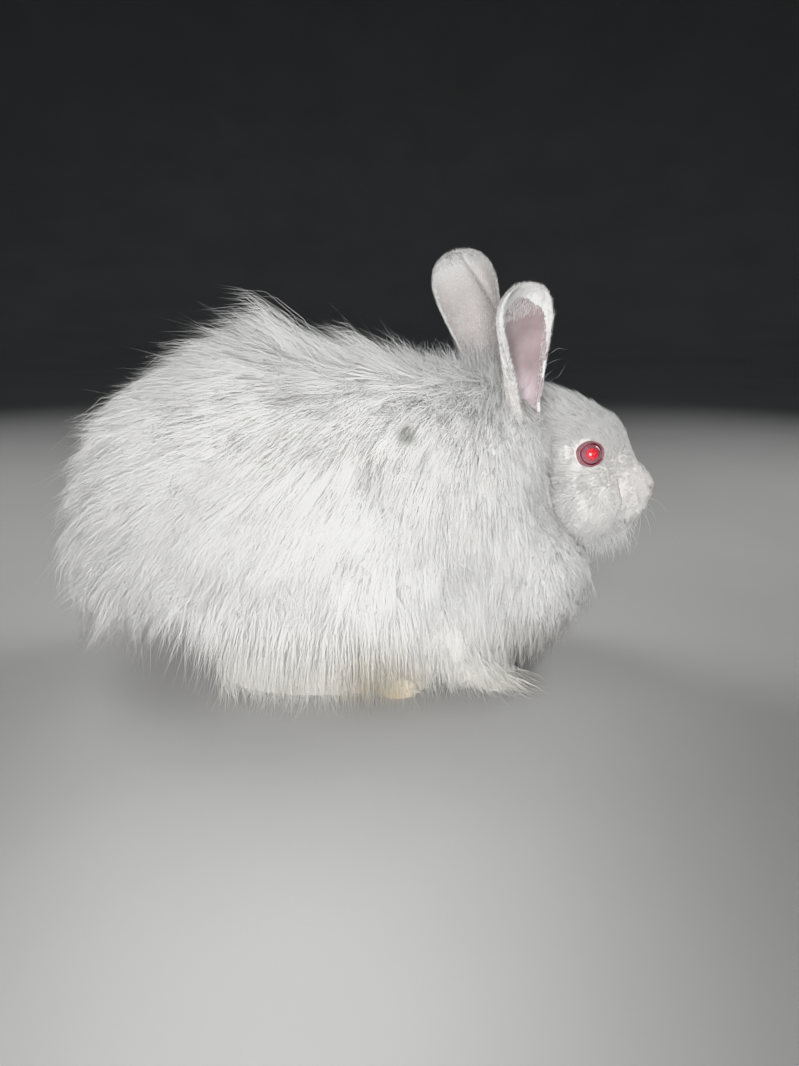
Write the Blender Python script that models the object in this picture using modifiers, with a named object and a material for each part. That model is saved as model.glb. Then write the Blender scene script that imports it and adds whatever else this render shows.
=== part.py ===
"""An angora rabbit at rest, life-size, in metres: +Z up, facing +X, left side towards +Y, feet on z = 0.

The coat is modelled as a padded core with flat, tapered locks that reach its outer surface. The outer
surface is a smooth union of a few ellipsoids, and the core is the same form taken inwards by half the
coat's depth.
"""
import math

import bmesh
import bpy
import numpy as np
from mathutils import Vector

# Driving sizes
GAP = 0.0003
HALF_GAP = GAP / 2

# The coat's outer surface: centre, radii and pitch of each mass
BODY_CENTRE = (-0.020, 0.0, 0.095)
BODY_MASSES = (
    ("rump", (-0.114, 0.0, 0.112), (0.081, 0.094, 0.090), 0.0),
    ("seat", (-0.136, 0.0, 0.074), (0.062, 0.084, 0.048), 0.0),
    ("back", (-0.064, 0.0, 0.127), (0.097, 0.093, 0.101), 0.10),
    ("flank", (-0.020, 0.0, 0.080), (0.112, 0.104, 0.092), 0.0),
    ("withers", (0.006, 0.0, 0.150), (0.080, 0.076, 0.070), 0.12),
    ("shoulders", (0.056, 0.0, 0.120), (0.072, 0.083, 0.090), 0.16),
    ("chest", (0.108, 0.0, 0.062), (0.055, 0.070, 0.055), 0.0),
    ("belly", (0.028, 0.0, 0.036), (0.104, 0.084, 0.048), 0.0),
    ("nape", (0.082, 0.0, 0.149), (0.044, 0.056, 0.052), 0.30),
)
SMOOTH_BODY = 0.030

# The coat stands this far out from the skin, and the padded core takes the lower half of it
COAT_DEPTH = 0.050
CORE_INSET = COAT_DEPTH / 2
CORE_FLOOR = 0.0016
CORE_FINENESS = 5
CORE_TRIANGLES = 1260

# The coat's lie: how much it runs to the rear, against 1 downwards, from the rump to the chest
LIE_PLACES = (-0.20, -0.12, -0.02, 0.06, 0.12, 0.16)
LIE_REARWARD = (1.5, 1.3, 0.70, 0.35, 0.0, -0.30)
LIE_FLAT_ON_TOP = 0.45
LIE_DROOP_HEIGHTS = (0.035, 0.130)
LIE_DROOP_SHARE = 0.30

# Near the head the wool is short, so the core comes up to the coat's surface there
HEAD_RAMP = 0.050
LEAST_INSET = 0.15

# A lock: its sections from root to tip, as shares of its run, its climb, its width and its thickness
LOCK_SPACING = 0.0272
LOCK_RUN = 0.066
SHORT_LOCK_SHARE = 0.45
LOCK_WIDTH = 0.045
LOCK_THICK = 0.0120
LOCK_SINK = 0.007
LOCK_SECTIONS = (
    (0.00, 0.00, 0.62, 1.00),
    (0.30, 0.62, 1.00, 0.95),
    (0.68, 0.93, 0.84, 0.56),
)
LOCK_VARY = 0.16
LOCK_TWIST = 0.20
LOCK_TIP_LEVELS = (-0.001, 0.007)
LOCK_FLOOR = 0.0040
LOCK_SEED = 7
LOCK_TRIES = 5000
LOWEST_ROOT_NORMAL = -0.60
HEAD_CLEARANCE = 0.003

# Below the body's widest line the locks stop hugging the form and hang
HANG_NORMALS = (-0.60, -0.05)

# Long tufts lift off along the back and the nape
TUFT_LIFT = 0.021
TUFT_PLACE = -0.042
TUFT_REACH = 0.022
NAPE_LIFT = 0.012
NAPE_PLACE = 0.045
NAPE_REACH = 0.035

# The head: face points forwards and down, and the masses with a sideways offset are made on both sides
HEAD_CENTRE = (0.156, 0.0, 0.130)
HEAD_MASSES = (
    ("cranium", (0.137, 0.0, 0.151), (0.034, 0.0270, 0.033), 0.50),
    ("brow", (0.160, 0.0, 0.1515), (0.027, 0.0240, 0.023), 0.62),
    ("bridge", (0.1785, 0.0, 0.1295), (0.0260, 0.0140, 0.0190), 0.80),
    ("eye_ring", (0.151, 0.0175, 0.149), (0.018, 0.0125, 0.016), 0.50),
    ("cheek", (0.152, 0.0145, 0.115), (0.0275, 0.0195, 0.0265), 0.70),
    ("muzzle", (0.1830, 0.0075, 0.1130), (0.0150, 0.0112, 0.0138), 0.60),
    ("nose", (0.1945, 0.0, 0.1235), (0.0100, 0.0080, 0.0090), 0.60),
    ("chin", (0.1735, 0.0, 0.1010), (0.0160, 0.0118, 0.0105), 0.30),
)
SMOOTH_HEAD = 0.011
HEAD_FINENESS = 5
HEAD_TRIANGLES = 2300

EYE_RADIUS = 0.0088
EYE_CENTRE = (0.1525, 0.0265, 0.1505)
EYE_SIDES = 14
EYE_ROWS = 9
EYE_OUTWARD = (0.22, 1.0, 0.12)
LID_RING = 0.0083
LID_THICK = 0.0034
LID_HEIGHT = 0.92
LID_SIDES = 18
LID_ROUND = 6

# The split nose and lips: grooves through these points, taken onto the head's surface
GROOVE_RADII = (0.0007, 0.0011, 0.0011, 0.0010, 0.0006)
MOUTH_LINE = (
    (0.1990, 0.0, 0.1050),
    (0.1950, 0.0045, 0.1035),
    (0.1890, 0.0090, 0.1025),
    (0.1815, 0.0125, 0.1032),
    (0.1755, 0.0150, 0.1052),
)
LIP_SPLIT = (
    (0.2060, 0.0, 0.1190),
    (0.2050, 0.0, 0.1155),
    (0.2035, 0.0, 0.1120),
    (0.2015, 0.0, 0.1085),
    (0.1990, 0.0, 0.1050),
)
NOSTRIL_CENTRE = (0.2040, 0.0040, 0.1222)
NOSTRIL_RADII = (0.0030, 0.0010, 0.0016)
NOSTRIL_PITCH = -0.50
NOSTRIL_SIDES = 8
NOSTRIL_ROWS = 6
GROOVE_SIDES = 6

# Ears: base, middle and tip of the axis, and the way the cup opens
EARS = (
    (
        "ear_right",
        (0.1050, -0.0160, 0.1600),
        (0.0985, -0.0400, 0.2100),
        (0.0940, -0.0600, 0.2550),
        (0.60, -0.80, 0.05),
    ),
    (
        "ear_left",
        (0.1100, 0.0150, 0.1600),
        (0.0840, 0.0300, 0.2150),
        (0.0680, 0.0450, 0.2810),
        (0.15, 1.00, 0.05),
    ),
)
EAR_THICK = 0.0030
EAR_ROWS = 14
EAR_COLUMNS = 9
EAR_STATIONS = (0.0, 0.25, 0.50, 0.75, 1.0)
EAR_HALF_ARCS = (0.0215, 0.0205, 0.0220, 0.0260, 0.0250)
EAR_RADII = (0.0092, 0.0102, 0.0150, 0.0230, 0.0270)
EAR_ROUND_FROM = 0.76
EAR_TIP_SHARE = 0.16
EAR_CLEAR_HEIGHT = 0.225

# The thigh's share of the coat: an elliptical column that slants back and down outwards
THIGH_CENTRE = (-0.060, 0.056)
THIGH_AT = 0.078
THIGH_RADII = (0.070, 0.078)
THIGH_INNER = 0.046
THIGH_OUTER = 0.160
THIGH_SLANT = (-1.00, -0.55)
THIGH_SIDES = 28

FOOT_CENTRE = (-0.022, 0.063, 0.0125)
FOOT_RADII = (0.060, 0.0150, 0.0160)
FOOT_SIDES = 14
FOOT_ROWS = 8
TOE_RADII = (0.0115, 0.0046, 0.0078)
TOE_SIDES = 8
TOE_ROWS = 6
TOE_HEIGHT_SHARE = 0.85
HIND_TOES = ((0.0300, -0.0110), (0.0345, -0.0038), (0.0345, 0.0038), (0.0290, 0.0110))

FORE_PATH = ((0.034, 0.050, 0.072), (0.056, 0.052, 0.042), (0.070, 0.054, 0.019), (0.078, 0.055, 0.0105))
FORE_RADII = (0.0130, 0.0125, 0.0105, 0.0100)
FORE_SIDES = 8
PAW_CENTRE = (0.0800, 0.055, 0.0095)
PAW_RADII = (0.0180, 0.0125, 0.0105)
PAW_SIDES = 10
PAW_ROWS = 6
FORE_TOES = ((0.0930, -0.0085), (0.0970, -0.0028), (0.0970, 0.0028), (0.0930, 0.0085))
FORE_TOE_RADII = (0.0090, 0.0036, 0.0062)
FORE_TOE_SIDES = 7
FORE_TOE_ROWS = 5

# The parting of neck and torso: a wide ball about a point behind and below
NECK_BALL_CENTRE = (-0.200, 0.0, -0.150)
NECK_BALL_RADIUS = 0.433
NECK_BALL_FINENESS = 4

TAIL_START = (-0.148, 0.0, 0.082)
TAIL_RADII = (0.027, 0.031)
TAIL_LENGTH = 0.140
TAIL_SLANT = 0.10
TAIL_SIDES = 20

COAT_COLOUR = (0.84, 0.83, 0.81)
COAT_ROUGHNESS = 0.9
EAR_COLOUR = (0.78, 0.62, 0.60)
EYE_COLOUR = (0.45, 0.03, 0.05)
EYE_ROUGHNESS = 0.1


def clear_scene():
    """Removes the startup scene's objects."""
    for found in list(bpy.data.objects):
        bpy.data.objects.remove(found)


def new_collection(name):
    made = bpy.data.collections.new(name)
    bpy.context.scene.collection.children.link(made)
    return made


def new_object(name, mesh, collection):
    made = bpy.data.objects.new(name, mesh)
    collection.objects.link(made)
    return made


def object_from_bmesh(name, bm, collection):
    mesh = bpy.data.meshes.new(name)
    bm.to_mesh(mesh)
    bm.free()
    return new_object(name, mesh, collection)


def unit(vectors):
    return vectors / np.linalg.norm(vectors, axis=-1, keepdims=True)


def smooth_min(first, second, width):
    """The smaller of two fields, rounded where they are within the width of each other."""
    share = np.clip(0.5 + 0.5 * (second - first) / width, 0.0, 1.0)
    return second * (1 - share) + first * share - width * share * (1 - share)


def form_field(points, masses, smooth):
    """Smooth union of ellipsoids: negative inside, and about the distance to the surface near it."""
    total = None
    for _, centre, radii, pitch in masses:
        for side in (1.0, -1.0) if centre[1] else (1.0,):
            offset = points - np.array((centre[0], centre[1] * side, centre[2]))
            turn, rise = math.cos(pitch), math.sin(pitch)
            local = np.stack(
                (
                    turn * offset[:, 0] - rise * offset[:, 2],
                    offset[:, 1],
                    rise * offset[:, 0] + turn * offset[:, 2],
                ),
                axis=1,
            ) / np.array(radii)
            near = np.maximum(np.linalg.norm(local, axis=1), 1e-6)
            steep = np.maximum(np.linalg.norm(local / np.array(radii), axis=1), 1e-6)
            distance = near * (near - 1) / steep
            total = distance if total is None else smooth_min(total, distance, smooth)
    return total


def body_field(points):
    return form_field(points, BODY_MASSES, SMOOTH_BODY)


def head_field(points):
    return form_field(points, HEAD_MASSES, SMOOTH_HEAD)


def core_field(points):
    """The body's field taken inwards by the core's inset, which shrinks near the head."""
    return body_field(points) + CORE_INSET * wool_share(points)


def wool_share(points):
    """How much of its full length the wool has at the points."""
    return np.clip(head_field(points) / HEAD_RAMP, LEAST_INSET, 1.0)


def field_normals(points, field, step=0.0008):
    """Unit outward normals, from central differences of the field."""
    slopes = [field(points + shift) - field(points - shift) for shift in np.eye(3) * step]
    return unit(np.stack(slopes, axis=1))


def cast_to_level(directions, centre, field, level, reach=0.26, steps=110, halvings=18):
    """The outermost point along each direction from the centre where the field is at the level."""
    radii = np.linspace(reach, 0.0, steps)
    inside = np.stack([field(centre + directions * r) < level for r in radii])
    first = inside.argmax(axis=0)
    near, far = radii[first], radii[first - 1]
    for _ in range(halvings):
        middle = (near + far) / 2
        within = field(centre + directions * middle[:, None]) < level
        near, far = np.where(within, middle, near), np.where(within, far, middle)
    return centre + directions * near[:, None]


def ball_form(name, centre, field, level, subdivisions, collection, floor=None):
    """An icosphere whose points are moved along their own directions onto a level of the field."""
    bm = bmesh.new()
    bmesh.ops.create_icosphere(bm, subdivisions=subdivisions, radius=1.0)
    directions = unit(np.array([vert.co for vert in bm.verts]))
    points = cast_to_level(directions, np.array(centre), field, level)
    if floor is not None:
        points[:, 2] = np.maximum(points[:, 2], floor)
    for vert, point in zip(bm.verts, points):
        vert.co = point
    return object_from_bmesh(name, bm, collection)


def apply_modifiers(target):
    """Replaces the object's mesh with what its modifiers make of it."""
    bpy.context.view_layer.update()
    graph = bpy.context.evaluated_depsgraph_get()
    mesh = bpy.data.meshes.new_from_object(target.evaluated_get(graph))
    target.modifiers.clear()
    target.data = mesh
    return target


def combine(target, others, operation, scratch, solver="MANIFOLD"):
    """One Boolean of the target with a collection of closed objects, which are then removed."""
    holder = bpy.data.collections.new("boolean")
    scratch.children.link(holder)
    for other in others:
        for found in list(other.users_collection):
            found.objects.unlink(other)
        holder.objects.link(other)
        other.hide_render = True
    modifier = target.modifiers.new("combine", "BOOLEAN")
    modifier.operation = operation
    modifier.operand_type = "COLLECTION"
    modifier.collection = holder
    modifier.solver = solver
    apply_modifiers(target)
    for other in others:
        bpy.data.objects.remove(other)
    bpy.data.collections.remove(holder)
    return target


def shell_volume(faces):
    """Six times the volume inside a closed shell of faces."""
    total = 0.0
    for face in faces:
        corners = [vert.co for vert in face.verts]
        for second, third in zip(corners[1:], corners[2:]):
            total += corners[0].dot(second.cross(third))
    return total


def keep_largest(target):
    """Keeps the closed surface with the most volume, so that sealed hollows fill and loose scraps go."""
    bm = bmesh.new()
    bm.from_mesh(target.data)
    bm.faces.ensure_lookup_table()
    seen, shells = set(), []
    for start in bm.faces:
        if start in seen:
            continue
        seen.add(start)
        shell, stack = [], [start]
        while stack:
            face = stack.pop()
            shell.append(face)
            for edge in face.edges:
                for other in edge.link_faces:
                    if other not in seen:
                        seen.add(other)
                        stack.append(other)
        shells.append(shell)
    shells.sort(key=shell_volume, reverse=True)
    dropped = [face for shell in shells[1:] for face in shell]
    bmesh.ops.delete(bm, geom=dropped, context="FACES")
    bm.to_mesh(target.data)
    bm.free()
    return target


def grown_copy(source, by, collection):
    """A copy whose points are moved outwards along their normals."""
    bm = bmesh.new()
    bm.from_mesh(source.data)
    bm.normal_update()
    moves = [vert.normal.copy() * by for vert in bm.verts]
    for vert, move in zip(bm.verts, moves):
        vert.co += move
    made = object_from_bmesh(source.name + "_grown", bm, collection)
    made.matrix_world = source.matrix_world
    return made


def hull_of(name, points, collection):
    bm = bmesh.new()
    for point in points:
        bm.verts.new(point)
    bmesh.ops.convex_hull(bm, input=bm.verts)
    bmesh.ops.delete(bm, geom=[vert for vert in bm.verts if not vert.link_faces], context="VERTS")
    bmesh.ops.recalc_face_normals(bm, faces=bm.faces)
    return object_from_bmesh(name, bm, collection)


def space_round_points(points, collection):
    """A convex space that clears the points by the gap."""
    hull = hull_of("hull", points, collection)
    space = grown_copy(hull, GAP, collection)
    bpy.data.objects.remove(hull)
    return space


def space_round(form, collection):
    return space_round_points([vert.co.copy() for vert in form.data.vertices], collection)


def sphere(name, centre, radii, segments, rings, collection, pitch=0.0):
    """A UV sphere stretched to the radii and turned by pitch about Y."""
    bm = bmesh.new()
    bmesh.ops.create_uvsphere(bm, u_segments=segments, v_segments=rings, radius=1.0)
    turn, rise = math.cos(pitch), math.sin(pitch)
    for vert in bm.verts:
        x, y, z = (vert.co[axis] * radii[axis] for axis in range(3))
        vert.co = Vector((turn * x + rise * z, y, -rise * x + turn * z)) + Vector(centre)
    return object_from_bmesh(name, bm, collection)


def tapered_tube(name, path, radii, sides, collection):
    """A closed tube through the path, with a radius at each point."""
    bm = bmesh.new()
    rings = []
    path = [Vector(point) for point in path]
    for index, (point, radius) in enumerate(zip(path, radii)):
        ahead = path[min(index + 1, len(path) - 1)] - path[max(index - 1, 0)]
        side = ahead.cross(Vector((0.0, 0.0, 1.0)))
        if side.length < 1e-9:
            side = Vector((0.0, 1.0, 0.0))
        side.normalize()
        top = side.cross(ahead).normalized()
        ring = []
        for step in range(sides):
            angle = 2 * math.pi * step / sides
            across = side * math.cos(angle) + top * math.sin(angle)
            ring.append(bm.verts.new(point + across * radius))
        rings.append(ring)
    for lower, upper in zip(rings, rings[1:]):
        for step in range(sides):
            following = (step + 1) % sides
            bm.faces.new((lower[step], lower[following], upper[following], upper[step]))
    bm.faces.new(list(reversed(rings[0])))
    bm.faces.new(rings[-1])
    bmesh.ops.recalc_face_normals(bm, faces=bm.faces)
    return object_from_bmesh(name, bm, collection)


def column(name, start, radii, length, slant, sides, grow, collection, along="X"):
    """A closed elliptical column from its start; slant is the section's move for each metre along."""
    bm = bmesh.new()
    rings = []
    for reach in (-grow, length):
        ring = []
        for step in range(sides):
            angle = 2 * math.pi * step / sides
            first = (radii[0] + grow) * math.cos(angle) + slant[0] * reach
            second = (radii[1] + grow) * math.sin(angle) + slant[1] * reach
            offset = (first, reach, second) if along == "Y" else (-reach, first, second)
            ring.append(bm.verts.new(Vector(start) + Vector(offset)))
        rings.append(ring)
    for step in range(sides):
        following = (step + 1) % sides
        bm.faces.new((rings[0][step], rings[0][following], rings[1][following], rings[1][step]))
    bm.faces.new(list(reversed(rings[0])))
    bm.faces.new(rings[1])
    bmesh.ops.recalc_face_normals(bm, faces=bm.faces)
    return object_from_bmesh(name, bm, collection)


def mirrored(source, name, collection):
    """The same form on the other side of the middle plane."""
    bm = bmesh.new()
    bm.from_mesh(source.data)
    for vert in bm.verts:
        vert.co.y = -vert.co.y
    bmesh.ops.reverse_faces(bm, faces=bm.faces)
    return object_from_bmesh(name, bm, collection)


def copied(source, name, collection):
    return new_object(name, source.data.copy(), collection)


def reduced(target, triangles):
    """Thins the mesh to about so many triangles."""
    modifier = target.modifiers.new("reduce", "DECIMATE")
    modifier.ratio = triangles / sum(len(face.vertices) - 2 for face in target.data.polygons)
    return apply_modifiers(target)


def flat_footed(target):
    """Presses what is below the floor up onto it."""
    for vert in target.data.vertices:
        vert.co.z = max(vert.co.z, 0.0)
    return target


def on_head(points):
    """The points of the head's surface that lie towards the given ones from its middle."""
    centre = np.array(HEAD_CENTRE)
    return cast_to_level(unit(np.array(points) - centre), centre, head_field, 0.0)


def opposite(points, side):
    return [(x, y * side, z) for x, y, z in points]


def lid_ring(side, scratch):
    """The rim of the lids round one eye."""
    outward = Vector((EYE_OUTWARD[0], EYE_OUTWARD[1] * side, EYE_OUTWARD[2])).normalized()
    across = outward.cross(Vector((0.0, 0.0, 1.0))).normalized()
    up = across.cross(outward)
    rise = math.sqrt(EYE_RADIUS**2 - LID_RING**2)
    middle = Vector(opposite([EYE_CENTRE], side)[0]) + outward * rise
    bm = bmesh.new()
    rings = []
    for step in range(LID_SIDES):
        angle = 2 * math.pi * step / LID_SIDES
        spoke = across * math.cos(angle) + up * math.sin(angle) * LID_HEIGHT
        ring = []
        for corner in range(LID_ROUND):
            turn = 2 * math.pi * corner / LID_ROUND
            offset = (spoke * math.cos(turn) + outward * math.sin(turn)) * LID_THICK / 2
            ring.append(bm.verts.new(middle + spoke * LID_RING + offset))
        rings.append(ring)
    for step in range(LID_SIDES):
        following = rings[(step + 1) % LID_SIDES]
        for corner in range(LID_ROUND):
            after = (corner + 1) % LID_ROUND
            bm.faces.new((rings[step][corner], rings[step][after], following[after], following[corner]))
    bmesh.ops.recalc_face_normals(bm, faces=bm.faces)
    return object_from_bmesh("lids", bm, scratch)


def make_head(scratch):
    """The head with the rims of its lids, the nostrils, the split upper lip and the line of the mouth."""
    head = ball_form("head", HEAD_CENTRE, head_field, 0.0, HEAD_FINENESS, scratch)
    head = reduced(head, HEAD_TRIANGLES)
    plain = copied(head, "head_plain", scratch)
    combine(head, [lid_ring(side, scratch) for side in (1.0, -1.0)], "UNION", scratch)
    cuts = [tapered_tube("groove", on_head(LIP_SPLIT), GROOVE_RADII, GROOVE_SIDES, scratch)]
    for side in (1.0, -1.0):
        mouth = on_head(opposite(MOUTH_LINE, side))
        cuts.append(tapered_tube("groove", mouth, GROOVE_RADII, GROOVE_SIDES, scratch))
        nostril = on_head(opposite([NOSTRIL_CENTRE], side))[0]
        cuts.append(
            sphere("nostril", nostril, NOSTRIL_RADII, NOSTRIL_SIDES, NOSTRIL_ROWS, scratch, NOSTRIL_PITCH)
        )
    combine(head, cuts, "DIFFERENCE", scratch)
    return head, plain


def ear_row(share):
    """Half the arc and the radius of the ear's section at a share of its length."""
    half_arc = float(np.interp(share, EAR_STATIONS, EAR_HALF_ARCS))
    if share > EAR_ROUND_FROM:
        past = (share - EAR_ROUND_FROM) / (1 - EAR_ROUND_FROM)
        half_arc *= max(math.sqrt(max(1 - past * past, 0.0)), EAR_TIP_SHARE)
    return half_arc, float(np.interp(share, EAR_STATIONS, EAR_RADII))


def make_ear(name, base, middle, tip, opening, scratch):
    """A cup rolled nearly to a tube at its base, spreading towards a round tip along a bent axis."""
    base, middle, tip = Vector(base), Vector(middle), Vector(tip)
    bm = bmesh.new()
    rows = []
    for row in range(EAR_ROWS):
        share = row / (EAR_ROWS - 1)
        half_arc, radius = ear_row(share)
        lower, upper = base.lerp(middle, share), middle.lerp(tip, share)
        axis = (upper - lower).normalized()
        out = Vector(opening)
        out = (out - axis * out.dot(axis)).normalized()
        side = axis.cross(out)
        verts = []
        for place in range(EAR_COLUMNS):
            angle = half_arc / radius * (2 * place / (EAR_COLUMNS - 1) - 1)
            across = side * radius * math.sin(angle) + out * radius * (1 - math.cos(angle))
            verts.append(bm.verts.new(lower.lerp(upper, share) + across))
        rows.append(verts)
    for lower, upper in zip(rows, rows[1:]):
        for place in range(EAR_COLUMNS - 1):
            bm.faces.new((lower[place], lower[place + 1], upper[place + 1], upper[place]))
    ear = object_from_bmesh(name, bm, scratch)
    solidify = ear.modifiers.new("thickness", "SOLIDIFY")
    solidify.thickness = EAR_THICK
    solidify.offset = 0.0
    return apply_modifiers(ear)


def make_foot(name, scratch):
    """A long hind foot flat on the floor with four toes."""
    foot = sphere(name, FOOT_CENTRE, FOOT_RADII, FOOT_SIDES, FOOT_ROWS, scratch)
    toes = []
    for x, y in HIND_TOES:
        centre = (x, FOOT_CENTRE[1] + y, TOE_RADII[2] * TOE_HEIGHT_SHARE)
        toes.append(sphere("toe", centre, TOE_RADII, TOE_SIDES, TOE_ROWS, scratch))
    return flat_footed(combine(foot, toes, "UNION", scratch))


def make_fore_leg(name, scratch):
    """A bent forearm down to a paw flat on the floor with four toes."""
    leg = tapered_tube(name, FORE_PATH, FORE_RADII, FORE_SIDES, scratch)
    parts = [sphere("paw", PAW_CENTRE, PAW_RADII, PAW_SIDES, PAW_ROWS, scratch)]
    for x, y in FORE_TOES:
        centre = (x, PAW_CENTRE[1] + y, FORE_TOE_RADII[2] * TOE_HEIGHT_SHARE)
        parts.append(sphere("toe", centre, FORE_TOE_RADII, FORE_TOE_SIDES, FORE_TOE_ROWS, scratch))
    return flat_footed(combine(leg, parts, "UNION", scratch))


def thigh_middle(across):
    """X and Z of the middle of the thigh's column at a distance from the middle plane."""
    past = across - THIGH_AT
    return THIGH_CENTRE[0] + THIGH_SLANT[0] * past, THIGH_CENTRE[1] + THIGH_SLANT[1] * past


def thigh_region(side, grow, scratch):
    x, z = thigh_middle(THIGH_INNER)
    start = (x, THIGH_INNER, z)
    length = THIGH_OUTER - THIGH_INNER
    made = column("thigh", start, THIGH_RADII, length, THIGH_SLANT, THIGH_SIDES, grow, scratch, "Y")
    if side < 0:
        other = mirrored(made, "thigh_right", scratch)
        bpy.data.objects.remove(made)
        return other
    return made


def tail_region(grow, scratch):
    slant = (0.0, TAIL_SLANT)
    return column("tail_region", TAIL_START, TAIL_RADII, TAIL_LENGTH, slant, TAIL_SIDES, grow, scratch)


def neck_ball(grow, scratch):
    bm = bmesh.new()
    bmesh.ops.create_icosphere(bm, subdivisions=NECK_BALL_FINENESS, radius=NECK_BALL_RADIUS + grow)
    bmesh.ops.translate(bm, verts=bm.verts, vec=NECK_BALL_CENTRE)
    return object_from_bmesh("neck_ball", bm, scratch)


def part_of_coat(point):
    """The node that carries a lock with its root at the point."""
    x, y, z = point
    if math.dist(point, NECK_BALL_CENTRE) > NECK_BALL_RADIUS:
        return "neck"
    middle = thigh_middle(abs(y))
    away = math.hypot((x - middle[0]) / THIGH_RADII[0], (z - middle[1]) / THIGH_RADII[1])
    if abs(y) > THIGH_INNER and away < 1:
        return "hind_leg_left" if y > 0 else "hind_leg_right"
    rise = TAIL_START[2] + TAIL_SLANT * (TAIL_START[0] - x)
    if x < TAIL_START[0] and math.hypot(y / TAIL_RADII[0], (z - rise) / TAIL_RADII[1]) < 1:
        return "tail"
    return "torso"


def coat_lie(points, normals):
    """Unit directions along the surface in which the coat lies: down, and more or less to the rear."""
    rearward = np.interp(points[:, 0], LIE_PLACES, LIE_REARWARD)
    rearward = rearward * np.interp(points[:, 2], LIE_DROOP_HEIGHTS, (LIE_DROOP_SHARE, 1.0))
    rearward = rearward + LIE_FLAT_ON_TOP * np.maximum(normals[:, 2], 0.0)
    way = unit(np.stack([-rearward, np.zeros(len(points)), -np.ones(len(points))], axis=1))
    hug = np.interp(normals[:, 2], HANG_NORMALS, (0.0, 1.0))[:, None]
    return unit(way - hug * normals * np.sum(way * normals, axis=1, keepdims=True))


def lock_roots():
    """Points spread evenly over the core, no two nearer than the spacing."""
    chance = np.random.default_rng(LOCK_SEED)
    directions = unit(chance.normal(size=(LOCK_TRIES, 3)))
    tried = cast_to_level(directions, np.array(BODY_CENTRE), core_field, 0.0)
    normals = field_normals(tried, body_field)
    usable = (normals[:, 2] > LOWEST_ROOT_NORMAL) & (head_field(tried) > HEAD_CLEARANCE)
    kept = []
    for point in tried[usable]:
        if all(math.dist(point, other) >= LOCK_SPACING for other in kept):
            kept.append(point)
    return np.array(kept)


def lift_at(points, normals):
    """How far past the coat's surface the tips of the loose tufts stand."""
    upward = np.clip(normals[:, 2], 0.0, 1.0)
    tuft = TUFT_LIFT * np.exp(-(((points[:, 0] - TUFT_PLACE) / TUFT_REACH) ** 2))
    nape = NAPE_LIFT * np.exp(-(((points[:, 0] - NAPE_PLACE) / NAPE_REACH) ** 2))
    return (tuft + nape) * upward**2


def lock_form(middles, frames, widen, index, scratch):
    """One lock: three-cornered sections along its stations, and a tip."""
    bm = bmesh.new()
    rings = []
    for station, (lie, normal), (_, _, width, thick) in zip(middles, frames, LOCK_SECTIONS):
        middle = Vector(station[index])
        up = Vector(normal[index])
        side = Vector(lie[index]).cross(up) * (LOCK_WIDTH * widen[index] * width / 2)
        depth = up * (LOCK_THICK * thick / 2)
        ring = [bm.verts.new(middle + offset) for offset in (side - depth, depth, -side - depth)]
        for vert in ring:
            vert.co.z = max(vert.co.z, CORE_FLOOR)
        rings.append(ring)
    tip = bm.verts.new(Vector(middles[-1][index]))
    for lower, upper in zip(rings, rings[1:]):
        for corner in range(3):
            after = (corner + 1) % 3
            bm.faces.new((lower[corner], lower[after], upper[after], upper[corner]))
    for corner in range(3):
        bm.faces.new((rings[-1][corner], rings[-1][(corner + 1) % 3], tip))
    bm.faces.new(list(reversed(rings[0])))
    bmesh.ops.triangulate(bm, faces=bm.faces)
    bmesh.ops.recalc_face_normals(bm, faces=bm.faces)
    return object_from_bmesh("lock", bm, scratch)


def make_locks(scratch):
    """Flat tapered locks, by node: they climb from the core to the coat's surface and bend along its lie."""
    roots = lock_roots()
    chance = np.random.default_rng(LOCK_SEED + 1)
    count = len(roots)
    stretch = chance.uniform(1 - LOCK_VARY, 1 + LOCK_VARY, count)
    widen = chance.uniform(1 - LOCK_VARY, 1 + LOCK_VARY, count)
    twist = chance.uniform(-LOCK_TWIST, LOCK_TWIST, count)
    tip_level = chance.uniform(*LOCK_TIP_LEVELS, count)
    points = roots.copy()
    normals = field_normals(points, body_field)
    tip_level = tip_level + lift_at(points, normals)
    stations = [points - normals * LOCK_SINK]
    frames = []
    inset = CORE_INSET * wool_share(points)
    run = LOCK_RUN * stretch * (SHORT_LOCK_SHARE + (1 - SHORT_LOCK_SHARE) * wool_share(points))
    shares = [section[0] for section in LOCK_SECTIONS] + [1.0]
    climbs = [section[1] for section in LOCK_SECTIONS] + [1.0]
    for share, following, climb in zip(shares, shares[1:], climbs[1:]):
        lie = coat_lie(points, normals)
        turned = np.cross(normals, lie)
        lie = lie * np.cos(twist)[:, None] + turned * np.sin(twist)[:, None]
        frames.append((lie, normals))
        points = points + lie * (run * (following - share))[:, None]
        level = tip_level * following**2 - inset * (1 - climb)
        normals = field_normals(points, body_field)
        hug = np.interp(normals[:, 2], HANG_NORMALS, (0.0, 1.0))
        points = points + normals * (hug * (level - body_field(points)))[:, None]
        points[:, 2] = np.maximum(points[:, 2], LOCK_FLOOR)
        stations.append(points)
    carried = {}
    for index, root in enumerate(roots):
        lock = lock_form(stations, frames, widen, index, scratch)
        carried.setdefault(part_of_coat(root), []).append(lock)
    return carried


def material(name, colour, roughness):
    made = bpy.data.materials.new(name)
    made.use_nodes = True
    shader = made.node_tree.nodes["Principled BSDF"]
    shader.inputs["Base Color"].default_value = (*colour, 1.0)
    shader.inputs["Roughness"].default_value = roughness
    shader.inputs["Metallic"].default_value = 0.0
    return made


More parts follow.
